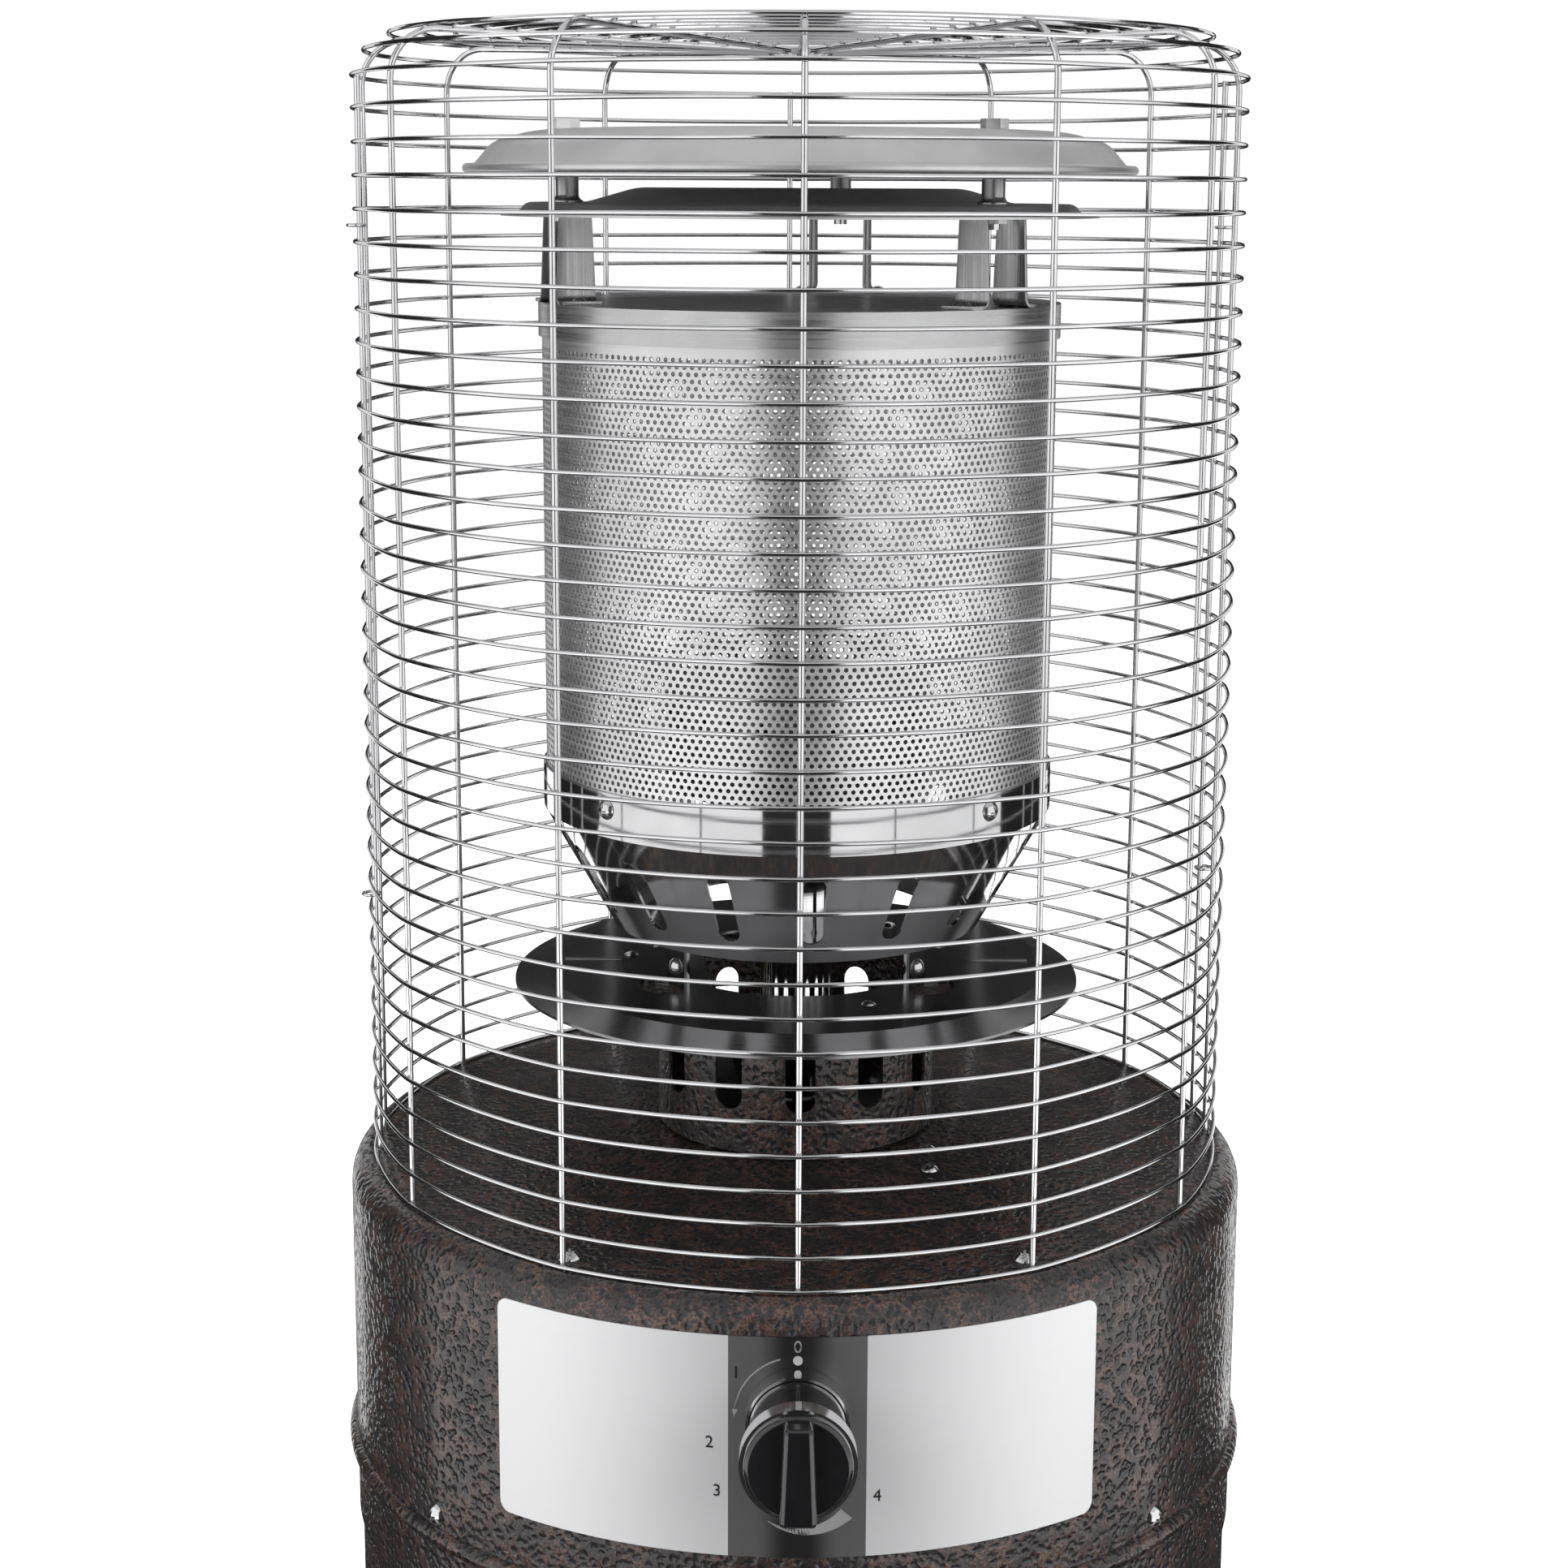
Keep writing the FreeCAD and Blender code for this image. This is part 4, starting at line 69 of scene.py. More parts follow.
MERGE_DISTANCE = 0.01 * MM
SHARP_ANGLE = 32.0
LINE_RANGE = (0.3, 0.7)
CLOUD_RANGE = (0.35, 0.65)
ROUND_STEPS = 192
BEND_STEPS = 6

Pair = tuple[float, float]
Color = tuple[float, float, float]
Place = tuple[float, float, float]
Corner = tuple[float, float, float]
Mesh = bmesh.types.BMesh
Socket = bpy.types.NodeSocket


class Grain(Enum):
    """Direction in which a metal surface is brushed or rolled."""

    PLAIN = "plain"
    AROUND = "around"
    UPRIGHT = "upright"
    SPUN = "spun"


class Ray(Enum):
    """Kinds of ray that a studio surface can be shown to."""

    CAMERA = "Is Camera Ray"
    GLOSSY = "Is Glossy Ray"
    TRANSMISSION = "Is Transmission Ray"


def polar(radius: float, azimuth: float, height: float) -> Vector:
    """Point at a distance from the centre axis, an azimuth in degrees and a height."""
    angle = math.radians(azimuth)
    return Vector((radius * math.sin(angle), -radius * math.cos(angle), height))


def facing(azimuth: float) -> Matrix:
    """Turn that carries a shape built at the front round to an azimuth in degrees."""
    return Matrix.Rotation(math.radians(azimuth), 4, "Z")


class Graph:
    """The node tree of a material or world, with short calls that add and join its nodes."""

    def __init__(self, owner: bpy.types.Material | bpy.types.World) -> None:
        """Empties the owner's tree.

        Args:
            owner: material or world that gets the nodes.
        """
        owner.use_nodes = True
        self.owner = owner
        self.tree = owner.node_tree
        self.tree.nodes.clear()

    def finish(self, shader: Socket) -> None:
        """Joins the last shader to the output."""
        kind = "World" if isinstance(self.owner, bpy.types.World) else "Material"
        self.add(f"ShaderNodeOutput{kind}", {"Surface": shader})

    def add(self, kind: str, inputs: dict | None = None, **settings: object) -> bpy.types.Node:
        """Adds a node.

        Args:
            kind: type name of the node.
            inputs: value or source socket of each input, by name or number.
            settings: properties of the node.

        Returns:
            The new node.
        """
        node = self.tree.nodes.new(kind)
        for name, value in settings.items():
            setattr(node, name, value)
        for name, value in (inputs or {}).items():
            self.put(node, name, value)
        return node

    def put(self, node: bpy.types.Node, name: str | int, value: object) -> None:
        """Sets an input of a node, or links a source socket to it.

        Args:
            node: node that owns the input.
            name: name or number of the input.
            value: constant, colour or source socket.
        """
        socket = node.inputs[name]
        if isinstance(value, Socket):
            self.tree.links.new(value, socket)
        elif isinstance(value, tuple) and socket.type == "RGBA":
            socket.default_value = (*value, 1.0)
        else:
            socket.default_value = value

    def place(self, scale: Place = (1.0, 1.0, 1.0)) -> Socket:
        """Object coordinates, stretched along the axes.

        Args:
            scale: factor along each axis.

        Returns:
            The vector socket.
        """
        coords = self.add("ShaderNodeTexCoord").outputs["Object"]
        return self.add("ShaderNodeMapping", {"Vector": coords, "Scale": scale}).outputs[0]

    def math(self, operation: str, *values: float | Socket) -> Socket:
        """Result of a Math node for some values."""
        return self.add("ShaderNodeMath", dict(enumerate(values)), operation=operation).outputs[0]

    def vector(self, operation: str, *values: object) -> Socket:
        """Result of a Vector Math node for some vectors."""
        node = self.add("ShaderNodeVectorMath", dict(enumerate(values)), operation=operation)
        return node.outputs["Value" if operation == "LENGTH" else "Vector"]

    def seen(self, *rays: Ray) -> Socket:
        """Mask of the rays of some kinds.

        Args:
            rays: kinds of ray that count.

        Returns:
            Value socket that is 1 for those rays.
        """
        path = self.add("ShaderNodeLightPath")
        total = path.outputs[rays[0].value]
        for ray in rays[1:]:
            total = self.math("MAXIMUM", total, path.outputs[ray.value])
        return total

    def noise(self, vector: Socket, scale: float, detail: float = 3.0) -> Socket:
        """Noise value from 0 to 1 at a vector.

        Args:
            vector: coordinates.
            scale: cells per metre.
            detail: number of octaves.

        Returns:
            The value socket.
        """
        inputs = {"Vector": vector, "Scale": scale, "Detail": detail, "Roughness": 0.55}
        return self.add("ShaderNodeTexNoise", inputs).outputs[0]

    def spread(
        self, value: Socket, low: float, high: float, start: float, end: float
    ) -> Socket:
        """Maps a value range smoothly onto another one.

        Args:
            value: source value.
            low: lower end of the source range.
            high: upper end of the source range.
            start: result at the lower end.
            end: result at the upper end.

        Returns:
            The mapped value socket.
        """
        inputs = {"Value": value, 1: low, 2: high, 3: start, 4: end}
        return self.add("ShaderNodeMapRange", inputs, interpolation_type="SMOOTHSTEP").outputs[0]

    def blend(self, factor: Socket, first: object, second: object) -> Socket:
        """Mix of two colours.

        Args:
            factor: share of the second colour.
            first: colour or socket at 0.
            second: colour or socket at 1.

        Returns:
            The colour socket.
        """
        mix = self.add("ShaderNodeMix", data_type="RGBA")
        for number, value in ((0, factor), (6, first), (7, second)):
            self.put(mix, number, value)
        return mix.outputs[2]


class Coating(Graph):
    """The node tree of a new material with one Principled surface."""

    def __init__(self, name: str) -> None:
        """Starts the material.

        Args:
            name: name of the material.
        """
        super().__init__(bpy.data.materials.new(name))
        self.surface = self.add("ShaderNodeBsdfPrincipled")
        self.finish(self.surface.outputs[0])

    def set(self, **values: object) -> None:
        """Sets inputs of the surface; an underscore stands for a space in an input's name."""
        for name, value in values.items():
            self.put(self.surface, name.replace("_", " "), value)

    def bump(self, height: Socket, depth: float) -> Socket:
        """Normal that follows a height from 0 to 1, with its real depth in metres."""
        inputs = {"Height": height, "Distance": depth, "Strength": 1.0}
        return self.add("ShaderNodeBump", inputs).outputs[0]


@dataclass(frozen=True)
class MetalFinish:
    """Bare or plated metal with the fine lines of its rolling, brushing or spinning."""

    name: str
    color: Color
    roughness: float
    grain: Grain = Grain.PLAIN
    unevenness: float = 0.05
    line_depth: float = 0.004 * MM
    lines_per_metre: float = 1300.0
    tarnish: float = 0.14
    around_stretch: float = 6.0
    upright_stretch: float = 10.0
    plain_cells: float = 140.0
    clouds_per_metre: float = 22.0
    least_roughness: float = 0.02

    def grain_vector(self, graph: Coating) -> Socket:
        """Coordinates that are stretched along the grain.

        Args:
            graph: node tree of the material.

        Returns:
            The vector socket.
        """
        across = self.lines_per_metre
        if self.grain is Grain.AROUND:
            return graph.place((self.around_stretch, self.around_stretch, across))
        if self.grain is Grain.UPRIGHT:
            return graph.place((across, across, self.upright_stretch))
        if self.grain is Grain.SPUN:
            from_axis = graph.vector("LENGTH", graph.place((1.0, 1.0, 0.0)))
            lines = graph.math("MULTIPLY", from_axis, across)
            return graph.add("ShaderNodeCombineXYZ", {0: lines}).outputs[0]
        return graph.place((self.plain_cells,) * 3)

    def material(self) -> bpy.types.Material:
        """Builds the material.

        Returns:
            The material.
        """
        graph = Coating(self.name)
        lines = graph.noise(self.grain_vector(graph), 1.0, 4.0)
        clouds = graph.noise(graph.place(), self.clouds_per_metre)
        low = max(self.roughness - self.unevenness, self.least_roughness)
        rough = graph.spread(lines, *LINE_RANGE, low, self.roughness + self.unevenness)
        darker = tuple((1.0 - self.tarnish) * part for part in self.color)
        tone = graph.blend(graph.spread(clouds, *CLOUD_RANGE, 0.0, 1.0), self.color, darker)
        normal = graph.bump(lines, self.line_depth)
        graph.set(Base_Color=tone, Metallic=1.0, Roughness=rough, Normal=normal)
        return graph.owner


@dataclass(frozen=True)
class HammerPaint:
    """Two-tone hammered paint: dark dimples in a coppery network under a glossy coat."""

    name: str = "hammer_paint"
    dimple_color: Color = (0.020, 0.019, 0.022)
    web_color: Color = (0.125, 0.074, 0.057)
    ground_color: Color = (0.022, 0.014, 0.012)
    cells_per_metre: float = 290.0
    relief: float = 0.36 * MM
    warps_per_metre: float = 190.0
    warp: float = 3.8 * MM
    patches_per_metre: float = 75.0
    specks_per_metre: float = 900.0
    smoothness: float = 0.35
    relief_range: Pair = (0.12, 0.62)
    web_range: Pair = (0.34, 0.56)
    patch_range: Pair = (0.38, 0.62)
    least_web: float = 0.15
    shaded: float = 0.62
    metallic: float = 0.35
    roughness: Pair = (0.36, 0.48)
    coat: float = 0.55
    coat_roughness: float = 0.12

    def material(self) -> bpy.types.Material:
        """Builds the material.

        Returns:
            The material.
        """
        graph = Coating(self.name)
        coords = graph.place()
        drift = {"Vector": coords, "Scale": self.warps_per_metre, "Detail": 2.0}
        noise = graph.add("ShaderNodeTexNoise", drift)
        shift = graph.vector("SUBTRACT", noise.outputs["Color"], (0.5, 0.5, 0.5))
        bent = graph.vector("ADD", coords, graph.vector("MULTIPLY", shift, (self.warp,) * 3))
        cells = {"Vector": bent, "Scale": self.cells_per_metre, "Smoothness": self.smoothness}
        distance = graph.add("ShaderNodeTexVoronoi", cells, feature="SMOOTH_F1").outputs["Distance"]
        height = graph.spread(distance, *self.relief_range, 0.0, 1.0)
        web = graph.spread(distance, *self.web_range, 0.0, 1.0)
        patches = graph.noise(coords, self.patches_per_metre, 4.0)
        patchy = graph.spread(patches, *self.patch_range, self.least_web, 1.0)
        share = graph.math("MULTIPLY", web, patchy)
        specks = graph.spread(graph.noise(coords, self.specks_per_metre, 2.0), *CLOUD_RANGE, 0.0, 1.0)
        shaded = tuple(self.shaded * part for part in self.dimple_color)
        dimple = graph.blend(specks, self.dimple_color, shaded)
        web_tone = graph.blend(specks, self.web_color, self.ground_color)
        normal = graph.bump(height, self.relief)
        graph.set(
            Base_Color=graph.blend(share, dimple, web_tone),
            Metallic=self.metallic,
            Roughness=graph.spread(specks, 0.0, 1.0, *self.roughness),
            Coat_Weight=self.coat,
            Coat_Roughness=self.coat_roughness,
            Normal=normal,
            Coat_Normal=normal,
        )
        return graph.owner


@dataclass(frozen=True)
class PlateFinish:
    """Pale satin plate with a dark band. It is greyer towards the band and has a black stripe down the
    band's middle; both the grey and the stripe are painted reflection.
    """

    name: str = "label_metal"
    end_color: Color = (0.82, 0.82, 0.83)
    # Plate colour next to the band, darkened with painted reflection of the dark space in front.
    inner_reflected_grey: Color = (0.52, 0.52, 0.53)
    band_color: Color = (0.085, 0.085, 0.087)
    # Colour of the painted reflection stripe down the middle of the band.
    reflection_stripe_color: Color = (0.010, 0.010, 0.011)
    band_half_width: float = 27.0 * MM
    reflection_stripe_core: float = 4.25 * MM
    reflection_stripe_half_width: float = 17.0 * MM
    plate_half_width: float = 118.0 * MM
    brushing: Place = (6.0, 6.0, 1500.0)
    line_depth: float = 0.003 * MM
    metallic: float = 0.25
    roughness: Pair = (0.36, 0.42)

    def material(self) -> bpy.types.Material:
        """Builds the material.

        Returns:
            The material.
        """
        graph = Coating(self.name)
        sides = graph.add("ShaderNodeSeparateXYZ", {0: graph.place()}).outputs["X"]
        reach = graph.math("ABSOLUTE", sides)
        band = graph.math("LESS_THAN", reach, self.band_half_width)
        # Painted reflection: a black stripe down the band's middle, fading into the band's own dark
        # colour, stands for the dark space in front reflected in the plate.
        reflection_stripe = graph.spread(reach, self.reflection_stripe_core, self.reflection_stripe_half_width, 0.0, 1.0)
        # Painted reflection: the plate is greyer towards the band and pale at its ends, where the dark
        # space in front is reflected in it.
        outwards = graph.spread(reach, self.band_half_width, self.plate_half_width, 0.0, 1.0)
        plate = graph.blend(outwards, self.inner_reflected_grey, self.end_color)
        lines = graph.noise(graph.place(self.brushing), 1.0)
        graph.set(
            Base_Color=graph.blend(band, plate, graph.blend(reflection_stripe, self.reflection_stripe_color, self.band_color)),
            Metallic=self.metallic,
            Roughness=graph.spread(lines, *LINE_RANGE, *self.roughness),
            Normal=graph.bump(lines, self.line_depth),
        )
        return graph.owner


@dataclass(frozen=True)
class PlasticFinish:
    """Moulded plastic or rubber with a fine skin."""

    name: str
    color: Color
    roughness: float
    coat: float = 0.0
    skin_depth: float = 0.01 * MM
    skin_scale: float = 900.0
    clouds_per_metre: float = 45.0
    coat_roughness: float = 0.06
    roughness_shares: Pair = (0.85, 1.15)
    lighter_factor: float = 1.25
    lighter_lift: float = 0.002

    def material(self) -> bpy.types.Material:
        """Builds the material.

        Returns:
            The material.
        """
        graph = Coating(self.name)
        coords = graph.place()
        skin = graph.noise(coords, self.skin_scale, 2.0)
        clouds = graph.spread(graph.noise(coords, self.clouds_per_metre), *CLOUD_RANGE, 0.0, 1.0)
        lighter = tuple(min(self.lighter_factor * part + self.lighter_lift, 1.0) for part in self.color)
        ends = (share * self.roughness for share in self.roughness_shares)
        graph.set(
            Base_Color=graph.blend(clouds, self.color, lighter),
            Roughness=graph.spread(skin, *LINE_RANGE, *ends),
            Coat_Weight=self.coat,
            Coat_Roughness=self.coat_roughness,
            Normal=graph.bump(skin, self.skin_depth),
        )
        return graph.owner


@dataclass(frozen=True)
class Palette:
    """Finishes of the heater, by the record's material slots."""

    paint: HammerPaint = HammerPaint()
    plate: PlateFinish = PlateFinish()
    metals: tuple[MetalFinish, ...] = (
        MetalFinish("zinc_screws", (0.66, 0.67, 0.69), 0.3),
        MetalFinish("grey_steel", (0.34, 0.35, 0.36), 0.38),
        MetalFinish("bright_screws", (0.78, 0.78, 0.78), 0.16),
        MetalFinish("chrome_trim", (0.80, 0.80, 0.81), 0.12, Grain.AROUND),
        MetalFinish("valve_metal", (0.56, 0.52, 0.42), 0.32),
        MetalFinish("stem_steel", (0.58, 0.58, 0.59), 0.25),
        MetalFinish("pipe_metal", (0.62, 0.55, 0.44), 0.3),
        MetalFinish("polished_steel", (0.70, 0.70, 0.71), 0.07, Grain.AROUND, 0.015),
        MetalFinish("burner_steel", (0.30, 0.29, 0.28), 0.34, Grain.AROUND),
        MetalFinish("dish_steel", (0.25, 0.25, 0.255), 0.20, Grain.SPUN, 0.05, 0.001 * MM),
        MetalFinish("screen_steel", (0.80, 0.80, 0.805), 0.36, Grain.AROUND, 0.06),
        MetalFinish("brushed_straps", (0.46, 0.46, 0.465), 0.3, Grain.UPRIGHT, 0.1, 0.012 * MM),
        MetalFinish("reflector_metal", (0.74, 0.74, 0.745), 0.42, Grain.SPUN, 0.07, 0.001 * MM),
        MetalFinish("lid_steel", (0.62, 0.62, 0.625), 0.30, Grain.AROUND, 0.05),
        MetalFinish("chrome_wire", (0.80, 0.80, 0.815), 0.1, Grain.PLAIN, 0.03),
    )
    plastics: tuple[PlasticFinish, ...] = (
        PlasticFinish("rubber_feet", (0.012, 0.012, 0.013), 0.62),
        PlasticFinish("black_plastic", (0.007, 0.007, 0.008), 0.18, 0.5, 0.001 * MM),
        PlasticFinish("dark_plastic", (0.018, 0.018, 0.020), 0.4),
        PlasticFinish("ceramic", (0.80, 0.78, 0.74), 0.3, 0.4),
        PlasticFinish("dark_ink", (0.006, 0.006, 0.006), 0.45),
        PlasticFinish("pale_ink", (0.22, 0.22, 0.22), 0.45),
        PlasticFinish("white_ink", (0.40, 0.40, 0.40), 0.45),
    )
    own_finishes: tuple[tuple[str, str], ...] = (("emitter_lid", "lid_steel"),)

    def materials(self) -> dict[str, bpy.types.Material]:
        """Builds every finish, by slot name."""
        finishes = (self.paint, self.plate, *self.metals, *self.plastics)
        return {finish.name: finish.material() for finish in finishes}

    def dress_nodes(self, materials: dict[str, bpy.types.Material]) -> None:
        """Gives each CAD node the finish of its material slot.

        Args:
            materials: finishes by slot name.
        """
        own = dict(self.own_finishes)
        for name, node in frame["nodes"].items():
            for slot in node.material_slots:
                finish = materials[own.get(name, slot.material.name.split(".")[0])]
                slot.link = "OBJECT"
                slot.material = finish


def held(name: str, shape: Mesh) -> bpy.types.Object:
    """Puts a mesh into a new object of the scene.

    Args:
        name: name of the object.
        shape: its mesh, which is used up.

    Returns:
        The object.
    """
    mesh = bpy.data.meshes.new(name)
    shape.to_mesh(mesh)
    shape.free()
    holder = bpy.data.objects.new(name, mesh)
    bpy.context.scene.collection.objects.link(holder)
    return holder


def melted(
    holder: bpy.types.Object, shape: Mesh | None = None, place: Matrix | None = None
) -> Mesh:
    """Adds the final form of a helper object to a mesh, and removes the object.

    Args:
        holder: object with modifiers, a curve or a text.
        shape: mesh that gets the form, where it isn't a new one.
        place: place of the form.

    Returns:
        The mesh.
    """
    evaluated = holder.evaluated_get(bpy.context.evaluated_depsgraph_get())
    mesh = bpy.data.meshes.new_from_object(evaluated)
    mesh.transform(place or Matrix())
    shape = shape or bmesh.new()
    shape.from_mesh(mesh)
    bpy.data.batch_remove((holder, holder.data, mesh))
    return shape


def merge(shape: Mesh) -> None:
    """Merges the vertices of a mesh that lie in one place."""
    bmesh.ops.remove_doubles(shape, verts=shape.verts[:], dist=MERGE_DISTANCE)


def verts_of(geometry: Iterable[object]) -> list[bmesh.types.BMVert]:
    """The vertices among a mesh's elements."""
    return [item for item in geometry if isinstance(item, bmesh.types.BMVert)]


def bevelled(
    shape: Mesh, geometry: list, offset: float, segments: int, affect: str = "VERTICES"
) -> None:
    """Rounds vertices or edges of a mesh.

    Args:
        shape: mesh to work on.
        geometry: its vertices or edges.
        offset: distance from the corner at which the round starts.
        segments: number of steps of the round.
        affect: which kind is rounded.
    """
    bmesh.ops.bevel(
        shape, geom=geometry, offset=offset, offset_type="OFFSET", segments=segments, profile=0.5,
        affect=affect, clamp_overlap=affect == "EDGES", material=-1,
    )


def thickened(
    shape: Mesh, thickness: float, witness: bmesh.types.BMFace, outwards: Vector
) -> None:
    """Gives an open sheet its thickness, below the side that faces outwards.

    Args:
        shape: mesh of the sheet.
        thickness: thickness of the sheet.
        witness: one of its faces.
        outwards: direction that this face should look in.
    """
    bmesh.ops.recalc_face_normals(shape, faces=shape.faces[:])
    if witness.normal.dot(outwards) < 0.0:
        bmesh.ops.reverse_faces(shape, faces=shape.faces[:])
    bmesh.ops.solidify(shape, geom=shape.faces[:], thickness=thickness)


@dataclass
class Workshop:
    """Turns worked meshes into placed, dressed pieces of the heater."""

    materials: dict[str, bpy.types.Material]

    def piece(
        self,
        name: str,
        shape: Mesh,
        slot: str,
        body: str = FIXED_BODY,
        replaces: Sequence[str] = (),
        sharp: float = SHARP_ANGLE,
        material: bpy.types.Material | None = None,
    ) -> bpy.types.Object:
        """Makes one piece from a finished mesh.

        Args:
            name: name of the piece.
            shape: its mesh, which is used up.
            slot: material slot that its finish belongs to.
            body: body that carries it.
            replaces: CAD nodes that it stands for.
            sharp: angle in degrees from which an edge stays sharp.
            material: finish, where it isn't the slot's own.

        Returns:
            The new object.
        """
        limit = math.radians(sharp)
        for face in shape.faces:
            face.smooth = True
        for edge in shape.edges:
            edge.smooth = edge.calc_face_angle(0.0) < limit
        piece = held(name, shape)
        piece.data.materials.append(material or self.materials[slot])
        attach(piece, body)
        if replaces:
            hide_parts(*replaces)
        LOG.info("%s: %d faces", name, len(piece.data.polygons))
        return piece


def ring_wires(paths: Iterable[Sequence[Vector]], radius: float, roundness: int) -> Mesh:
    """Round wires along closed paths.

    Args:
        paths: points of each wire's centre line.
        radius: radius of the wire.
        roundness: curve resolution; the wire has twice as many sides and four more.

    Returns:
        A mesh of all the wires.
    """
    curve = bpy.data.curves.new("wire_path", "CURVE")
    curve.dimensions = "3D"
    curve.bevel_depth = radius
    curve.bevel_resolution = roundness
    for points in paths:
        spline = curve.splines.new("POLY")
        spline.points.add(len(points) - 1)
        for point, place in zip(spline.points, points):
            point.co = (*place, 1.0)
        spline.use_cyclic_u = True
    shape = melted(bpy.data.objects.new("wire_path", curve))
    merge(shape)
    bmesh.ops.recalc_face_normals(shape, faces=shape.faces[:])
    return shape


def turned(corners: Iterable[Corner], steps: int = ROUND_STEPS) -> Mesh:
    """Spins an outline round the centre axis into a closed shape.

    Args:
        corners: radius and height of each corner of the outline, and the radius that rounds it. An
            outline that starts and ends on the axis is left open there.
        steps: number of steps round the axis.

    Returns:
        The mesh.
    """
    corners = list(corners)
    shape = bmesh.new()
    points = [Vector((radius, 0.0, height)) for radius, height, _ in corners]
    verts = [shape.verts.new(point) for point in points]
    for first, last in zip(verts, verts[1:]):
        shape.edges.new((first, last))
    if corners[0][0] > 0.0 or corners[-1][0] > 0.0:
        shape.edges.new((verts[-1], verts[0]))
    for index, (_, _, bend) in enumerate(corners):
        if bend > 0.0:
            before = points[index] - points[index - 1]
            after = points[(index + 1) % len(points)] - points[index]
            bevelled(shape, [verts[index]], bend * math.tan(before.angle(after) / 2.0), BEND_STEPS)
    bmesh.ops.spin(
        shape, geom=shape.verts[:] + shape.edges[:], cent=(0, 0, 0), axis=(0, 0, 1), dvec=(0, 0, 0),
        angle=math.tau, steps=steps, use_merge=True, use_duplicate=False,
    )
    merge(shape)
    bmesh.ops.recalc_face_normals(shape, faces=shape.faces[:])
    return shape


def sheet_corners(line: Iterable[Corner], thickness: float) -> list[Corner]:
    """Outline of a thin sheet that hangs below a line."""
    top = list(line)
    return top + [(radius, height - thickness, bend) for radius, height, bend in reversed(top)]


def strip(shape: Mesh, rows: Iterable[Sequence[Place]]) -> None:
    """Adds a strip of faces to a mesh.

    Args:
        shape: mesh that gets the strip.
        rows: the two points of each row across the strip.
    """
    verts = [[shape.verts.new(point) for point in row] for row in rows]
    for (low, high), (next_low, next_high) in zip(verts, verts[1:]):
        shape.faces.new((low, high, next_high, next_low))


def repeated(shape: Mesh, azimuths: Iterable[float]) -> Mesh:
    """Copies a shape that is built at the front round the centre axis.

    Args:
        shape: mesh to copy; its original place is emptied.
        azimuths: azimuths of the copies.

    Returns:
        The same mesh with the copies.
    """
    original = shape.verts[:] + shape.edges[:] + shape.faces[:]
    for azimuth in azimuths:
        copy = bmesh.ops.duplicate(shape, geom=original)["geom"]
        bmesh.ops.transform(shape, matrix=facing(azimuth), verts=verts_of(copy))
    bmesh.ops.delete(shape, geom=verts_of(original), context="VERTS")
    return shape


def carved(shape: Mesh, cutter: Mesh) -> Mesh:
    """Cuts one closed mesh out of another.

    Args:
        shape: mesh to cut, which is used up.
        cutter: mesh to take away, which is used up.

    Returns:
        The cut mesh.
    """
    holder = held("carved", shape)
    tool = held("cutter", cutter)
    cut = holder.modifiers.new("cut", "BOOLEAN")
    cut.operation = "DIFFERENCE"
    cut.solver = "EXACT"
    cut.object = tool
    result = melted(holder)
    bpy.data.batch_remove((tool, tool.data))
    return result


@dataclass
class ControlHousing:
    """The round control housing: a thin shell with a half-round bead and a rounded shoulder."""

    radius: float = 200.0 * MM
    sheet: float = 1.2 * MM
    bottom: float = 724.0 * MM
    bead_height: float = 759.0 * MM
    bead_circle: float = 199.6 * MM
    bead_radius: float = 4.0 * MM
    edge_height: float = 888.1 * MM
    shoulder_bend: float = 12.0 * MM
    crown_height: float = 899.5 * MM
    crown_hole: float = 44.0 * MM
    knob_height: float = 844.0 * MM
    knob_hole: float = 12.5 * MM
    bead_steps: int = 14

    def face(self, inset: float) -> list[Corner]:
        """Outline of one face of the sheet, from below upwards.

        Args:
            inset: how far the face lies inside the outer one.

        Returns:
            The corners of the outline.
        """
        wall = self.radius - inset
        size = self.bead_radius - inset
        reach = math.acos((wall - self.bead_circle) / size)
        half = self.bead_steps // 2
        turns = [reach * (step / half - 1.0) for step in range(self.bead_steps + 1)]
        bead = [
            (self.bead_circle + size * math.cos(turn), self.bead_height + size * math.sin(turn), 0.0)
            for turn in turns
        ]
        shoulder = (wall, self.edge_height - inset, self.shoulder_bend - inset)
        crown = (self.crown_hole, self.crown_height - inset, 0.0)
        return [(wall, self.bottom, 0.0), *bead, shoulder, crown]

    def build(self, shop: Workshop) -> None:
        """Builds the housing with its hole behind the knob.

        Args:
            shop: workshop that makes the pieces.
        """
        shell = turned(self.face(0.0) + self.face(self.sheet)[::-1])
        hole = bmesh.new()
        level = Matrix.Rotation(math.pi / 2.0, 4, "X")
        place = Matrix.Translation((0.0, -self.radius, self.knob_height)) @ level
        bmesh.ops.create_cone(
            hole, cap_ends=True, segments=48, radius1=self.knob_hole, radius2=self.knob_hole,
            depth=10.0 * self.sheet, matrix=place,
        )
        shop.piece("control_housing", carved(shell, hole), "hammer_paint", replaces=["upper_housing"])


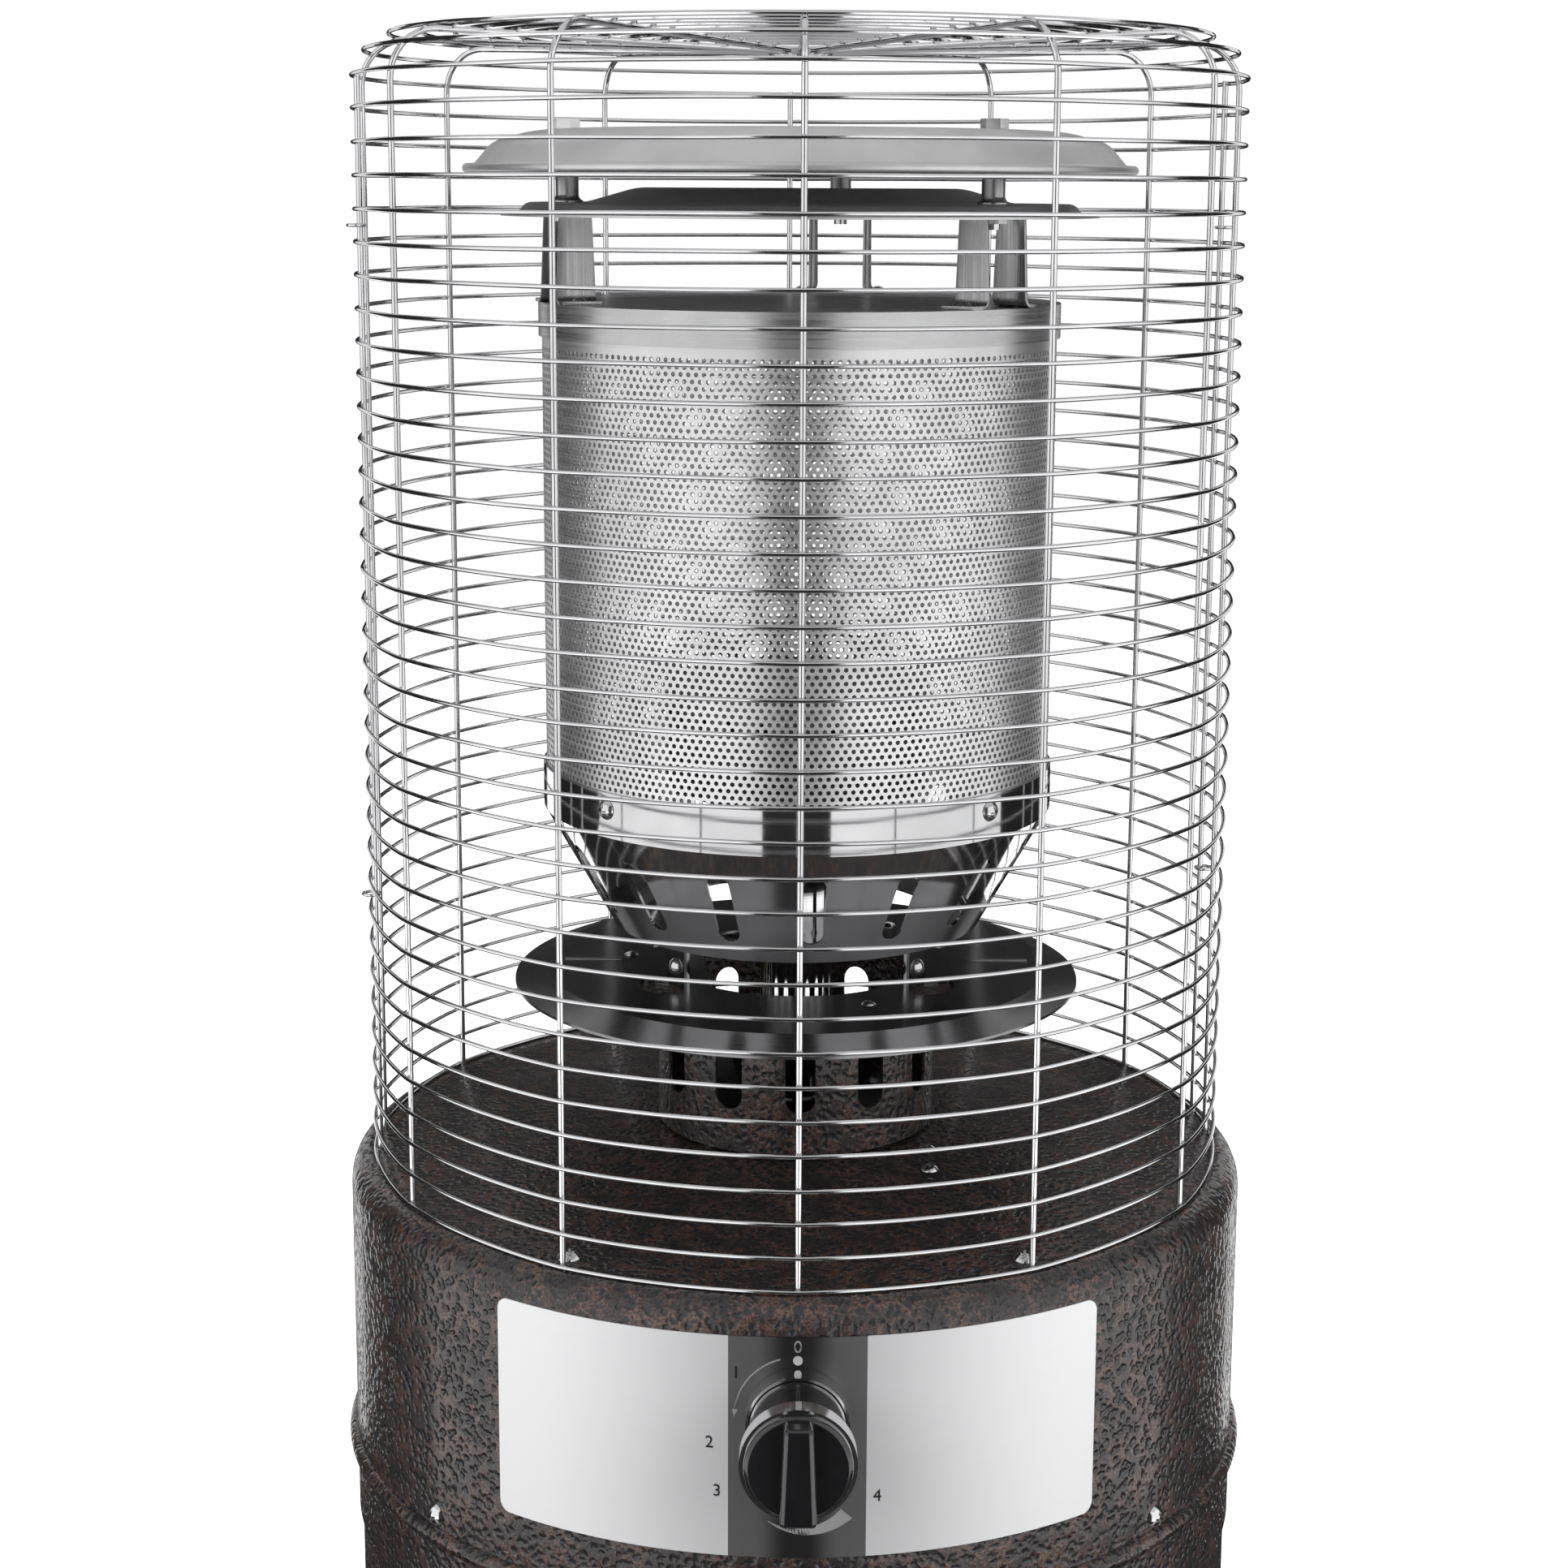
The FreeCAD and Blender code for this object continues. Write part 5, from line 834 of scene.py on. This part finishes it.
@dataclass
class DialPrints:
    """Thin prints: numerals, an arrow, a dot and a wedge round the knob, a pointer on its ring."""

    print_radius: float = 200.75 * MM
    ink: float = 0.1 * MM
    knob_height: float = 844.0 * MM
    numeral_size: float = 7.0 * MM
    zero_place: float = 28.6 * MM
    numerals: tuple[tuple[str, float, float], ...] = (
        ("1", -24.0 * MM, 17.5 * MM), ("2", -34.5 * MM, -12.0 * MM), ("3", -31.5 * MM, -32.0 * MM),
        ("4", 31.5 * MM, -34.0 * MM),
    )
    arrow_radius: float = 24.6 * MM
    arrow_line: float = 0.6 * MM
    arrow_turns: Pair = (-16.0, -84.0)
    arrow_head: float = 2.2 * MM
    arrow_tip: float = 3.52 * MM
    dot_radius: float = 1.9 * MM
    dot_place: float = 23.2 * MM
    wedge_drop: float = 23.8 * MM
    wedge_inner: float = 22.6 * MM
    wedge_widths: Pair = (0.3 * MM, 6.0 * MM)
    wedge_turns: Pair = (-150.0, -229.0)
    pointer_radius: float = 22.35 * MM
    pointer_half_turn: float = 2.9
    pointer_steps: int = 6
    pointer_places: Pair = (-235.2 * MM, -242.2 * MM)
    pointer_ink: float = 0.08 * MM

    def numeral(self, shape: Mesh, body: str, x: float, y: float) -> None:
        """Adds one flat numeral.

        Args:
            shape: mesh that gets the numeral.
            body: the numeral.
            x: place to the right of the knob's axis.
            y: place above it.
        """
        text = bpy.data.curves.new("numeral", "FONT")
        text.body = body
        text.size = self.numeral_size
        text.align_x = "CENTER"
        text.align_y = "CENTER"
        text.resolution_u = 4
        melted(bpy.data.objects.new("numeral", text), shape, Matrix.Translation((x, y, 0.0)))

    @staticmethod
    def band(
        shape: Mesh, inner: float, widths: Pair, turns: Pair, steps: int = 28
    ) -> None:
        """Adds a flat arc round the knob's axis.

        Args:
            shape: mesh that gets the arc.
            inner: radius of its inner edge.
            widths: width at its start and at its end.
            turns: start and end in degrees from the top, clockwise.
            steps: number of steps.
        """
        rows = []
        for step in range(steps + 1):
            share = step / steps
            angle = math.radians(turns[0] + (turns[1] - turns[0]) * share)
            outer = inner + widths[0] + (widths[1] - widths[0]) * share
            rows.append([
                (radius * math.sin(angle), radius * math.cos(angle), 0.0) for radius in (inner, outer)
            ])
        strip(shape, rows)

    def laid(self, shape: Mesh) -> Mesh:
        """Lays flat prints on the round plate and gives them the ink's thickness.

        Args:
            shape: flat prints, x to the right and y upwards from the knob's axis.

        Returns:
            The same mesh, closed.
        """
        merge(shape)
        shape.normal_update()
        bmesh.ops.reverse_faces(shape, faces=[face for face in shape.faces if face.normal.z < 0.0])
        for vert in shape.verts:
            azimuth = math.degrees(vert.co.x / self.print_radius)
            vert.co = polar(self.print_radius, azimuth, self.knob_height + vert.co.y)
        bmesh.ops.solidify(shape, geom=shape.faces[:], thickness=self.ink)
        return shape

    def dark_prints(self) -> Mesh:
        """The numerals from one to four.

        Returns:
            The closed mesh.
        """
        shape = bmesh.new()
        for body, x, y in self.numerals:
            self.numeral(shape, body, x, y)
        return self.laid(shape)

    def pale_prints(self) -> Mesh:
        """The wedge that shows more and less heat, the arrow and the zero.

        Returns:
            The closed mesh.
        """
        shape = bmesh.new()
        self.band(shape, self.wedge_inner, self.wedge_widths, self.wedge_turns)
        bmesh.ops.translate(shape, verts=shape.verts[:], vec=(0.0, -self.wedge_drop, 0.0))
        self.numeral(shape, "0", 0.0, self.zero_place)
        width = (self.arrow_line, self.arrow_line)
        self.band(shape, self.arrow_radius - self.arrow_line / 2.0, width, self.arrow_turns)
        start = math.radians(self.arrow_turns[1])
        place = Matrix.Rotation(-start, 4, "Z") @ Matrix.Translation((0.0, self.arrow_radius, 0.0))
        tip = (-self.arrow_tip, 0.0, 0.0)
        side = self.arrow_head / 2.0
        corners = [place @ Vector(corner) for corner in (tip, (0.0, -side, 0.0), (0.0, side, 0.0))]
        shape.faces.new([shape.verts.new(corner) for corner in corners])
        return self.laid(shape)

    def dot(self) -> Mesh:
        """The dot above the knob.

        Returns:
            The closed mesh.
        """
        shape = bmesh.new()
        place = Matrix.Translation((0.0, self.dot_place, 0.0))
        bmesh.ops.create_circle(shape, cap_ends=True, segments=28, radius=self.dot_radius, matrix=place)
        return self.laid(shape)

    def pointer(self) -> Mesh:
        """The mark on top of the knob's ring.

        Returns:
            The closed mesh.
        """
        shape = bmesh.new()
        rows = []
        half = self.pointer_steps // 2
        for step in range(-half, half + 1):
            angle = math.radians(self.pointer_half_turn * step / half)
            across = self.pointer_radius * math.sin(angle)
            height = self.knob_height + self.pointer_radius * math.cos(angle)
            rows.append([(across, place, height) for place in self.pointer_places])
        strip(shape, rows)
        bmesh.ops.solidify(shape, geom=shape.faces[:], thickness=self.pointer_ink)
        return shape

    def build(self, shop: Workshop) -> None:
        """Builds the prints on the plate and the pointer on the ring.

        Args:
            shop: workshop that makes the pieces.
        """
        inks = shop.materials
        shop.piece("dial_numerals", self.dark_prints(), "label_metal", material=inks["dark_ink"])
        shop.piece("dial_wedge", self.pale_prints(), "label_metal", material=inks["pale_ink"])
        shop.piece("dial_dot", self.dot(), "label_metal", material=inks["white_ink"])
        shop.piece("knob_pointer", self.pointer(), "chrome_trim", KNOB_BODY, material=inks["white_ink"])


@dataclass
class Reflectors:
    """The two pressed reflectors above the lid, and the sleeves that keep them apart."""

    lower_line: tuple[Corner, ...] = (
        (0.0, 1312.6 * MM, 0.0), (70.0 * MM, 1312.6 * MM, 26.0 * MM),
        (92.0 * MM, 1306.3 * MM, 22.0 * MM), (117.0 * MM, 1306.3 * MM, 4.5 * MM),
        (121.2 * MM, 1301.8 * MM, 2.2 * MM), (128.0 * MM, 1301.6 * MM, 0.0),
    )
    upper_line: tuple[Corner, ...] = (
        (0.0, 1336.3 * MM, 0.0), (113.5 * MM, 1336.3 * MM, 46.0 * MM),
        (131.0 * MM, 1331.5 * MM, 11.0 * MM), (139.3 * MM, 1321.8 * MM, 2.4 * MM),
        (142.0 * MM, 1321.8 * MM, 0.0),
    )
    sheet: float = 1.0 * MM
    roll_circle: float = 142.0 * MM
    roll_height: float = 1320.3 * MM
    roll_radius: float = 2.0 * MM
    roll_steps: int = 10
    grooves: int = 480
    groove_depth: float = 0.14 * MM
    groove_start: float = -0.2
    sleeve_circle: float = 103.0 * MM
    sleeve_azimuths: tuple[float, ...] = (-71.0, 49.0, 169.0)
    sleeve_radius: float = 4.8 * MM
    sleeve_bore: float = 3.3 * MM
    sleeve_foot: float = 6.6 * MM
    sleeve_foot_height: float = 0.7 * MM
    sleeve_foot_rise: float = 0.5 * MM
    sleeve_foot_bend: float = 2.6 * MM
    sleeve_edge: float = 0.3 * MM
    sleeve_steps: int = 40
    sleeve_bottom: float = 1306.4 * MM
    sleeve_top: float = 1335.2 * MM

    def rolled_rim(self) -> Mesh:
        """Rolled edge of the upper reflector, knurled on its outer side.

        Returns:
            The mesh of the rim.
        """
        turns = [math.tau * step / self.roll_steps for step in range(self.roll_steps)]
        ring = [
            (self.roll_circle + self.roll_radius * math.cos(turn),
             self.roll_height + self.roll_radius * math.sin(turn), 0.0)
            for turn in turns
        ]
        shape = turned(ring, 2 * self.grooves)
        step = math.tau / (2 * self.grooves)
        for vert in shape.verts:
            angle = math.atan2(vert.co.y, vert.co.x)
            along, across = math.cos(angle), math.sin(angle)
            centre = Vector((self.roll_circle * along, self.roll_circle * across, self.roll_height))
            away = (vert.co - centre).normalized()
            outwards = away.dot(Vector((along, across, 0.0)))
            if round(angle / step) % 2 and outwards > self.groove_start:
                vert.co -= self.groove_depth * away
        return shape

    def sleeves(self) -> Mesh:
        """Spacer sleeves with a spread foot, round the bolts.

        Returns:
            The mesh of the three sleeves.
        """
        foot = self.sleeve_bottom + self.sleeve_foot_height
        shape = turned((
            (self.sleeve_foot, self.sleeve_bottom, 0.0), (self.sleeve_foot, foot, 0.0),
            (self.sleeve_radius, foot + self.sleeve_foot_rise, self.sleeve_foot_bend),
            (self.sleeve_radius, self.sleeve_top, self.sleeve_edge),
            (self.sleeve_bore, self.sleeve_top, 0.0), (self.sleeve_bore, self.sleeve_bottom, 0.0),
        ), self.sleeve_steps)
        bmesh.ops.translate(shape, verts=shape.verts[:], vec=(0.0, -self.sleeve_circle, 0.0))
        return repeated(shape, self.sleeve_azimuths)

    def build(self, shop: Workshop) -> None:
        """Builds the reflectors, the knurled rim and the sleeves.

        Args:
            shop: workshop that makes the pieces.
        """
        lower = turned(sheet_corners(self.lower_line, self.sheet))
        shop.piece("lower_reflector", lower, "reflector_metal", replaces=["reflector_lower"])
        upper = turned(sheet_corners(self.upper_line, self.sheet))
        shop.piece("upper_reflector", upper, "reflector_metal", replaces=["reflector_upper"])
        shop.piece("upper_reflector_rim", self.rolled_rim(), "reflector_metal", sharp=80.0)
        shop.piece("spacer_sleeves", self.sleeves(), "brushed_straps", replaces=["reflector_spacers"])


@dataclass
class Straps:
    """Bent straps that carry the reflectors on the lid."""

    azimuths: tuple[float, ...] = (-71.0, 49.0, 169.0)
    circle_radius: float = 103.0 * MM
    foot_height: float = 1264.7 * MM
    top_height: float = 1305.2 * MM
    leg_spacing: float = 27.0 * MM
    foot_length: float = 9.0 * MM
    foot_width: float = 17.0 * MM
    top_width: float = 13.5 * MM
    sheet: float = 1.5 * MM
    bend: float = 2.6 * MM
    edge_round: float = 0.15 * MM
    edge_steps: int = 2
    edge_angle: float = 60.0

    def build(self, shop: Workshop) -> None:
        """Builds the three straps from a bent ribbon each.

        Args:
            shop: workshop that makes the pieces.
        """
        shape = bmesh.new()
        half = self.leg_spacing / 2.0
        low = self.foot_height + self.sheet
        corners = (
            (-half - self.foot_length, low), (-half, low), (-half, self.top_height),
            (half, self.top_height), (half, low), (half + self.foot_length, low),
        )
        verts = [shape.verts.new((x, -self.circle_radius, height)) for x, height in corners]
        for first, last in zip(verts, verts[1:]):
            shape.edges.new((first, last))
        for vert in verts[1:-1]:
            bevelled(shape, [vert], self.bend, BEND_STEPS)
        front = set(verts_of(bmesh.ops.extrude_edge_only(shape, edges=shape.edges[:])["geom"]))
        for vert in shape.verts:
            rise = (vert.co.z - low) / (self.top_height - low)
            width = self.foot_width + (self.top_width - self.foot_width) * rise
            vert.co.y += width / 2.0 * (-1.0 if vert in front else 1.0)
        highest = max(shape.faces, key=lambda face: face.calc_center_median().z)
        thickened(shape, self.sheet, highest, Vector((0.0, 0.0, 1.0)))
        limit = math.radians(self.edge_angle)
        rims = [edge for edge in shape.edges if edge.calc_face_angle(0.0) > limit]
        bevelled(shape, rims, self.edge_round, self.edge_steps, "EDGES")
        repeated(shape, self.azimuths)
        shop.piece("reflector_straps", shape, "brushed_straps", replaces=["strap_brackets"])


@dataclass
class WireGuard:
    """The ring wires of the welded guard, outside its uprights."""

    ring_radius: float = 189.25 * MM
    ring_wire_radius: float = 0.9 * MM
    wire_roundness: int = 2
    ring_count: int = 35
    bottom_ring_height: float = 890.0 * MM
    ring_pitch: float = 13.776 * MM
    upright_azimuths: tuple[float, ...] = tuple(30.0 * step for step in range(-5, 6)) + (178.9,)
    seam_azimuths: tuple[float, ...] = (-82.0, 98.0, 181.1)
    flat_between: float = 1.3 * MM
    full_span: float = 30.0
    steps_per_span: int = 12
    wander: float = 0.22 * MM
    seed: int = 35

    def crossings(self) -> list[float]:
        """Azimuths of all the uprights, in order round the guard."""
        return sorted(azimuth % 360.0 for azimuth in self.upright_azimuths + self.seam_azimuths)

    def ring_path(self, height: float, rng: random.Random) -> list[Vector]:
        """Centre line of one ring, a little flatter between the uprights that it is welded to.

        Args:
            height: height of the ring.
            rng: source of the small unevenness.

        Returns:
            The points of the ring.
        """
        stops = self.crossings()
        points = []
        lift = rng.uniform(-self.wander, self.wander)
        for first, last in zip(stops, stops[1:] + [stops[0] + 360.0]):
            span = last - first
            steps = max(2, round(self.steps_per_span * span / self.full_span))
            sag = self.flat_between * (span / self.full_span) ** 2
            drop = rng.uniform(-self.wander, self.wander)
            for step in range(steps):
                wave = math.sin(math.pi * step / steps)
                radius = self.ring_radius - sag * wave
                points.append(polar(radius, first + span * step / steps, height + lift + drop * wave))
        return points

    def build(self, shop: Workshop) -> None:
        """Builds the ring wires, which stand for the CAD rings.

        Args:
            shop: workshop that makes the pieces.
        """
        rng = random.Random(self.seed)
        paths = [
            self.ring_path(self.bottom_ring_height + self.ring_pitch * index, rng)
            for index in range(self.ring_count)
        ]
        shape = ring_wires(paths, self.ring_wire_radius, self.wire_roundness)
        shop.piece("guard_ring_wires", shape, "chrome_wire", replaces=["guard_rings"], sharp=70.0)


@dataclass
class EmitterColumn:
    """The perforated column, in quarters round the centre axis."""

    radius: float = 111.0 * MM
    sheet: float = 0.8 * MM
    bottom: float = 1047.1 * MM
    top: float = 1263.3 * MM
    field_bottom: float = 1063.0 * MM
    field_top: float = 1249.5 * MM
    pitch: float = 3.4 * MM
    row_pitch: float = 2.8 * MM
    hole_radius: float = 1.05 * MM
    panels: int = 4

    def columns(self) -> int:
        """Number of holes in each row of a panel."""
        return round(2.0 * math.pi * self.radius / self.pitch / self.panels)

    def cell(self, shape: Mesh, x: float, y: float) -> None:
        """Adds the sheet round one hole: a hexagon of the lattice with a small six-sided hole in it.

        Args:
            shape: mesh that gets the cell.
            x: place of the hole's middle along the sheet.
            y: height of the hole's middle on the sheet.
        """
        quarter = self.pitch ** 2 / 4.0
        tip = (quarter + self.row_pitch ** 2) / (2.0 * self.row_pitch)
        side = (self.row_pitch ** 2 - quarter) / (2.0 * self.row_pitch)
        start = len(shape.verts)
        place = Matrix.Translation((x, y, 0.0))
        for size in (1.0, self.hole_radius):
            bmesh.ops.create_circle(shape, segments=6, radius=size, matrix=place)
        shape.verts.ensure_lookup_table()
        for vert in shape.verts[start:start + 6]:
            across, along = vert.co.x - x, vert.co.y - y
            upright = abs(across) < self.pitch
            half = 0.0 if upright else self.pitch / 2.0
            high = tip if upright else side
            vert.co = Vector((x + math.copysign(half, across), y + math.copysign(high, along), 0.0))
        edges = {edge for vert in shape.verts[start:] for edge in vert.link_edges}
        bmesh.ops.bridge_loops(shape, edges=list(edges))

    def sheet_field(self) -> Mesh:
        """One flat panel of the perforated field.

        Returns:
            The panel's mesh, which starts at x = 0 and y = 0.
        """
        rows = round((self.field_top - self.field_bottom) / self.row_pitch / 2.0)
        unit = bmesh.new()
        self.cell(unit, 0.0, 0.0)
        self.cell(unit, self.pitch / 2.0, self.row_pitch)
        holder = held("field_unit", unit)
        runs = ((self.columns(), (self.pitch, 0.0, 0.0)), (rows, (0.0, 2.0 * self.row_pitch, 0.0)))
        for count, offset in runs:
            array = holder.modifiers.new("repeat", "ARRAY")
            array.count = count
            array.use_relative_offset = False
            array.use_constant_offset = True
            array.constant_offset_displace = offset
        shape = melted(holder)
        merge(shape)
        return shape

    def wrapped_panel(self, index: int) -> Mesh:
        """One quarter of the column, with solid bands above and below its field.

        Args:
            index: number of the panel round the column.

        Returns:
            The panel's closed mesh.
        """
        shape = self.sheet_field()
        heights = [vert.co.y for vert in shape.verts]
        half_row = self.row_pitch / 2.0
        # The edges of the holes are shorter than half a row, and those of the field longer.
        outer = [edge for edge in shape.edges if edge.is_boundary and edge.calc_length() > half_row]
        for level, end in ((min(heights), self.bottom), (max(heights), self.top)):
            rim = [
                edge for edge in outer if all(abs(vert.co.y - level) < half_row for vert in edge.verts)
            ]
            for vert in verts_of(bmesh.ops.extrude_edge_only(shape, edges=rim)["geom"]):
                vert.co.y = end - self.field_bottom
        turn = 2.0 * math.pi / (self.columns() * self.panels * self.pitch)
        for vert in shape.verts:
            angle = vert.co.x * turn + 2.0 * math.pi * index / self.panels
            vert.co = polar(self.radius, math.degrees(angle), self.field_bottom + vert.co.y)
        shape.faces.ensure_lookup_table()
        first = shape.faces[0]
        middle = first.calc_center_median()
        thickened(shape, self.sheet, first, Vector((middle.x, middle.y, 0.0)))
        return shape

    def build(self, shop: Workshop) -> None:
        """Builds the perforated column, which stands for the plain CAD one.

        Args:
            shop: workshop that makes the pieces.
        """
        for index in range(self.panels):
            stands_for = ["emitter_screen"] if index == 0 else []
            name = f"perforated_panel_{index + 1}"
            shop.piece(name, self.wrapped_panel(index), "screen_steel", replaces=stands_for)


@dataclass(frozen=True)
class StudioPanel:
    """A curved board round the heater that only reflections see: a soft box or a dark flag."""

    name: str
    first: float
    last: float
    bottom: float
    top: float
    brightness: float
    distance: float = 1.7
    top_distance: float = 1.7
    steps: int = 24

    def build(self) -> None:
        """Builds the board and hides it from every ray but the glossy ones."""
        shape = bmesh.new()
        low = shape.verts.new(polar(self.distance, self.first, self.bottom))
        high = shape.verts.new(polar(self.top_distance, self.first, self.top))
        edge = shape.edges.new((low, high))
        turn = math.radians(self.last - self.first)
        bmesh.ops.spin(
            shape, geom=[low, high, edge], cent=(0, 0, 0), axis=(0, 0, 1), dvec=(0, 0, 0), angle=turn,
            steps=self.steps, use_merge=False, use_duplicate=False,
        )
        board = held(self.name, shape)
        for ray in ("camera", "diffuse", "transmission", "volume_scatter", "shadow"):
            setattr(board, f"visible_{ray}", False)
        glow = Graph(bpy.data.materials.new(self.name))
        glow.finish(glow.add("ShaderNodeEmission", {"Strength": self.brightness}).outputs[0])
        board.data.materials.append(glow.owner)


@dataclass
class Studio:
    """Camera, floor, backdrop and lights."""

    camera_place: Place = (-9.5 * MM, -1198.6 * MM, 1312.0 * MM)
    pitch_down: float = 10.317
    yaw: float = 0.17
    roll: float = 0.26
    focal_length: float = 63.13
    sensor_width: float = 36.0
    frame_shift: float = -0.060
    farthest: float = 60.0
    floor_size: float = 14.0
    floor_tone: float = 0.78
    floor_glow: float = 0.3
    glow_distances: Pair = (0.5, 1.2)
    ambient: float = 0.52
    sky_tones: tuple[Pair, ...] = ((0.0, 1.0), (0.42, 1.0), (0.66, 0.55), (1.0, 0.75))
    panels: tuple[StudioPanel, ...] = (
        StudioPanel("panel_front_left", -98.0, -15.0, 0.62, 2.4, 1.1),
        StudioPanel("panel_front_right", 14.0, 100.0, 0.62, 2.4, 1.1),
        StudioPanel("flag_front", -15.0, 14.0, 0.0, 2.4, 0.03),
        StudioPanel("flag_left", -140.0, -98.0, 0.0, 2.4, 0.02),
        StudioPanel("flag_right", 100.0, 140.0, 0.0, 2.4, 0.02),
        StudioPanel("soft_rear_left", -154.0, -140.0, 0.9, 2.4, 0.8),
        StudioPanel("soft_rear_right", 140.0, 154.0, 0.9, 2.4, 0.8),
        StudioPanel("flag_rear", 154.0, 206.0, 0.0, 2.1, 0.02),
        StudioPanel("flag_floor_front", -28.0, 28.0, 0.004, 0.004, 0.02, 0.3),
        StudioPanel("soft_floor_left", -46.0, -28.0, 0.004, 0.004, 0.42, 0.3),
        StudioPanel("soft_floor_right", 28.0, 46.0, 0.004, 0.004, 0.42, 0.3),
        StudioPanel("flag_floor_rear", 46.0, 314.0, 0.004, 0.004, 0.02, 0.3),
    )
    lamp_target: Place = (0.0, 0.0, 0.9)
    lamps: tuple[tuple[str, Place, float, float], ...] = (
        ("lamp_left", (-1.9, -2.1, 2.3), 1.6, 34.0),
        ("lamp_right", (1.9, -2.0, 2.1), 1.6, 32.0),
        ("lamp_top", (0.0, 0.2, 3.2), 2.0, 26.0),
        ("lamp_rear", (0.3, 2.4, 2.4), 1.6, 18.0),
    )

    def camera(self) -> None:
        """Creates the camera at the photograph's viewing angle."""
        pitch, yaw, roll = (math.radians(value) for value in (self.pitch_down, self.yaw, self.roll))
        along = math.cos(pitch)
        ahead = Vector((math.sin(yaw) * along, math.cos(yaw) * along, -math.sin(pitch)))
        level = Vector((math.cos(yaw), -math.sin(yaw), 0.0))
        over = level.cross(ahead)
        right = math.cos(roll) * level + math.sin(roll) * over
        up = math.cos(roll) * over - math.sin(roll) * level
        lens = bpy.data.cameras.new("camera")
        lens.lens = self.focal_length
        lens.sensor_width = self.sensor_width
        lens.shift_y = self.frame_shift
        lens.clip_end = self.farthest
        holder = bpy.data.objects.new("camera", lens)
        turn = Matrix((right, up, -ahead)).transposed().to_4x4()
        holder.matrix_world = Matrix.Translation(self.camera_place) @ turn
        bpy.context.scene.collection.objects.link(holder)
        bpy.context.scene.camera = holder

    def floor(self) -> None:
        """Lays the pale floor, which keeps the heater's shadow."""
        shape = bmesh.new()
        bmesh.ops.create_grid(shape, x_segments=2, y_segments=2, size=self.floor_size / 2.0)
        ground = held("floor", shape)
        graph = Graph(bpy.data.materials.new("pale_floor"))
        away = graph.vector("LENGTH", graph.place())
        reach = graph.spread(away, *self.glow_distances, self.floor_glow, 1.0)
        strength = graph.math("MULTIPLY", graph.seen(*Ray), reach)
        glow = graph.add("ShaderNodeEmission", {"Strength": strength})
        matt = graph.add("ShaderNodeBsdfDiffuse", {"Color": (self.floor_tone,) * 3})
        both = graph.add("ShaderNodeAddShader", {0: matt.outputs[0], 1: glow.outputs[0]})
        graph.finish(both.outputs[0])
        ground.data.materials.append(graph.owner)

    def world(self) -> None:
        """Sets the backdrop: white to the camera, graded in reflections, even ambient light."""
        bpy.context.scene.world = bpy.data.worlds.new("studio")
        graph = Graph(bpy.context.scene.world)
        direction = graph.add("ShaderNodeTexCoord").outputs["Generated"]
        height = graph.add("ShaderNodeSeparateXYZ", {0: direction}).outputs["Z"]
        ramp = graph.add("ShaderNodeValToRGB", {0: height})
        elements = ramp.color_ramp.elements
        for position, _ in self.sky_tones[1:-1]:
            elements.new(position)
        for element, (position, tone) in zip(elements, self.sky_tones):
            element.position = position
            element.color = (tone, tone, tone, 1.0)
        result = graph.add("ShaderNodeBackground", {"Color": (self.ambient,) * 3}).outputs[0]
        for mask, color in (
            (graph.seen(Ray.GLOSSY), ramp.outputs["Color"]),
            (graph.seen(Ray.CAMERA, Ray.TRANSMISSION), (1.0, 1.0, 1.0)),
        ):
            grade = graph.add("ShaderNodeBackground", {"Color": color}).outputs[0]
            result = graph.add("ShaderNodeMixShader", {0: mask, 1: result, 2: grade}).outputs[0]
        graph.finish(result)

    def light(self) -> None:
        """Hangs the soft lamps, which reflections don't see."""
        target = Vector(self.lamp_target)
        for name, place, size, power in self.lamps:
            lamp = bpy.data.lights.new(name, "AREA")
            lamp.size = size
            lamp.energy = power
            holder = bpy.data.objects.new(name, lamp)
            turn = (target - Vector(place)).to_track_quat("-Z", "Y").to_matrix().to_4x4()
            holder.matrix_world = Matrix.Translation(place) @ turn
            holder.visible_glossy = False
            holder.visible_camera = False
            bpy.context.scene.collection.objects.link(holder)

    def build(self) -> None:
        """Sets up the whole studio."""
        bpy.context.scene.view_settings.view_transform = "Standard"
        self.camera()
        self.floor()
        self.world()
        self.light()
        for panel in self.panels:
            panel.build()


def main() -> None:
    """Dresses the frame, builds the modelled pieces and sets up the studio."""
    logging.basicConfig(level=logging.INFO, format="%(name)s: %(message)s")
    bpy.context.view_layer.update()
    palette = Palette()
    materials = palette.materials()
    palette.dress_nodes(materials)
    shop = Workshop(materials)
    assemblies = (
        ControlHousing(), DialPrints(), WireGuard(), EmitterColumn(), Reflectors(), Straps(),
    )
    for assembly in assemblies:
        LOG.info("building %s", type(assembly).__name__)
        assembly.build(shop)
    Studio().build()


if __name__ == "__main__":
    main()
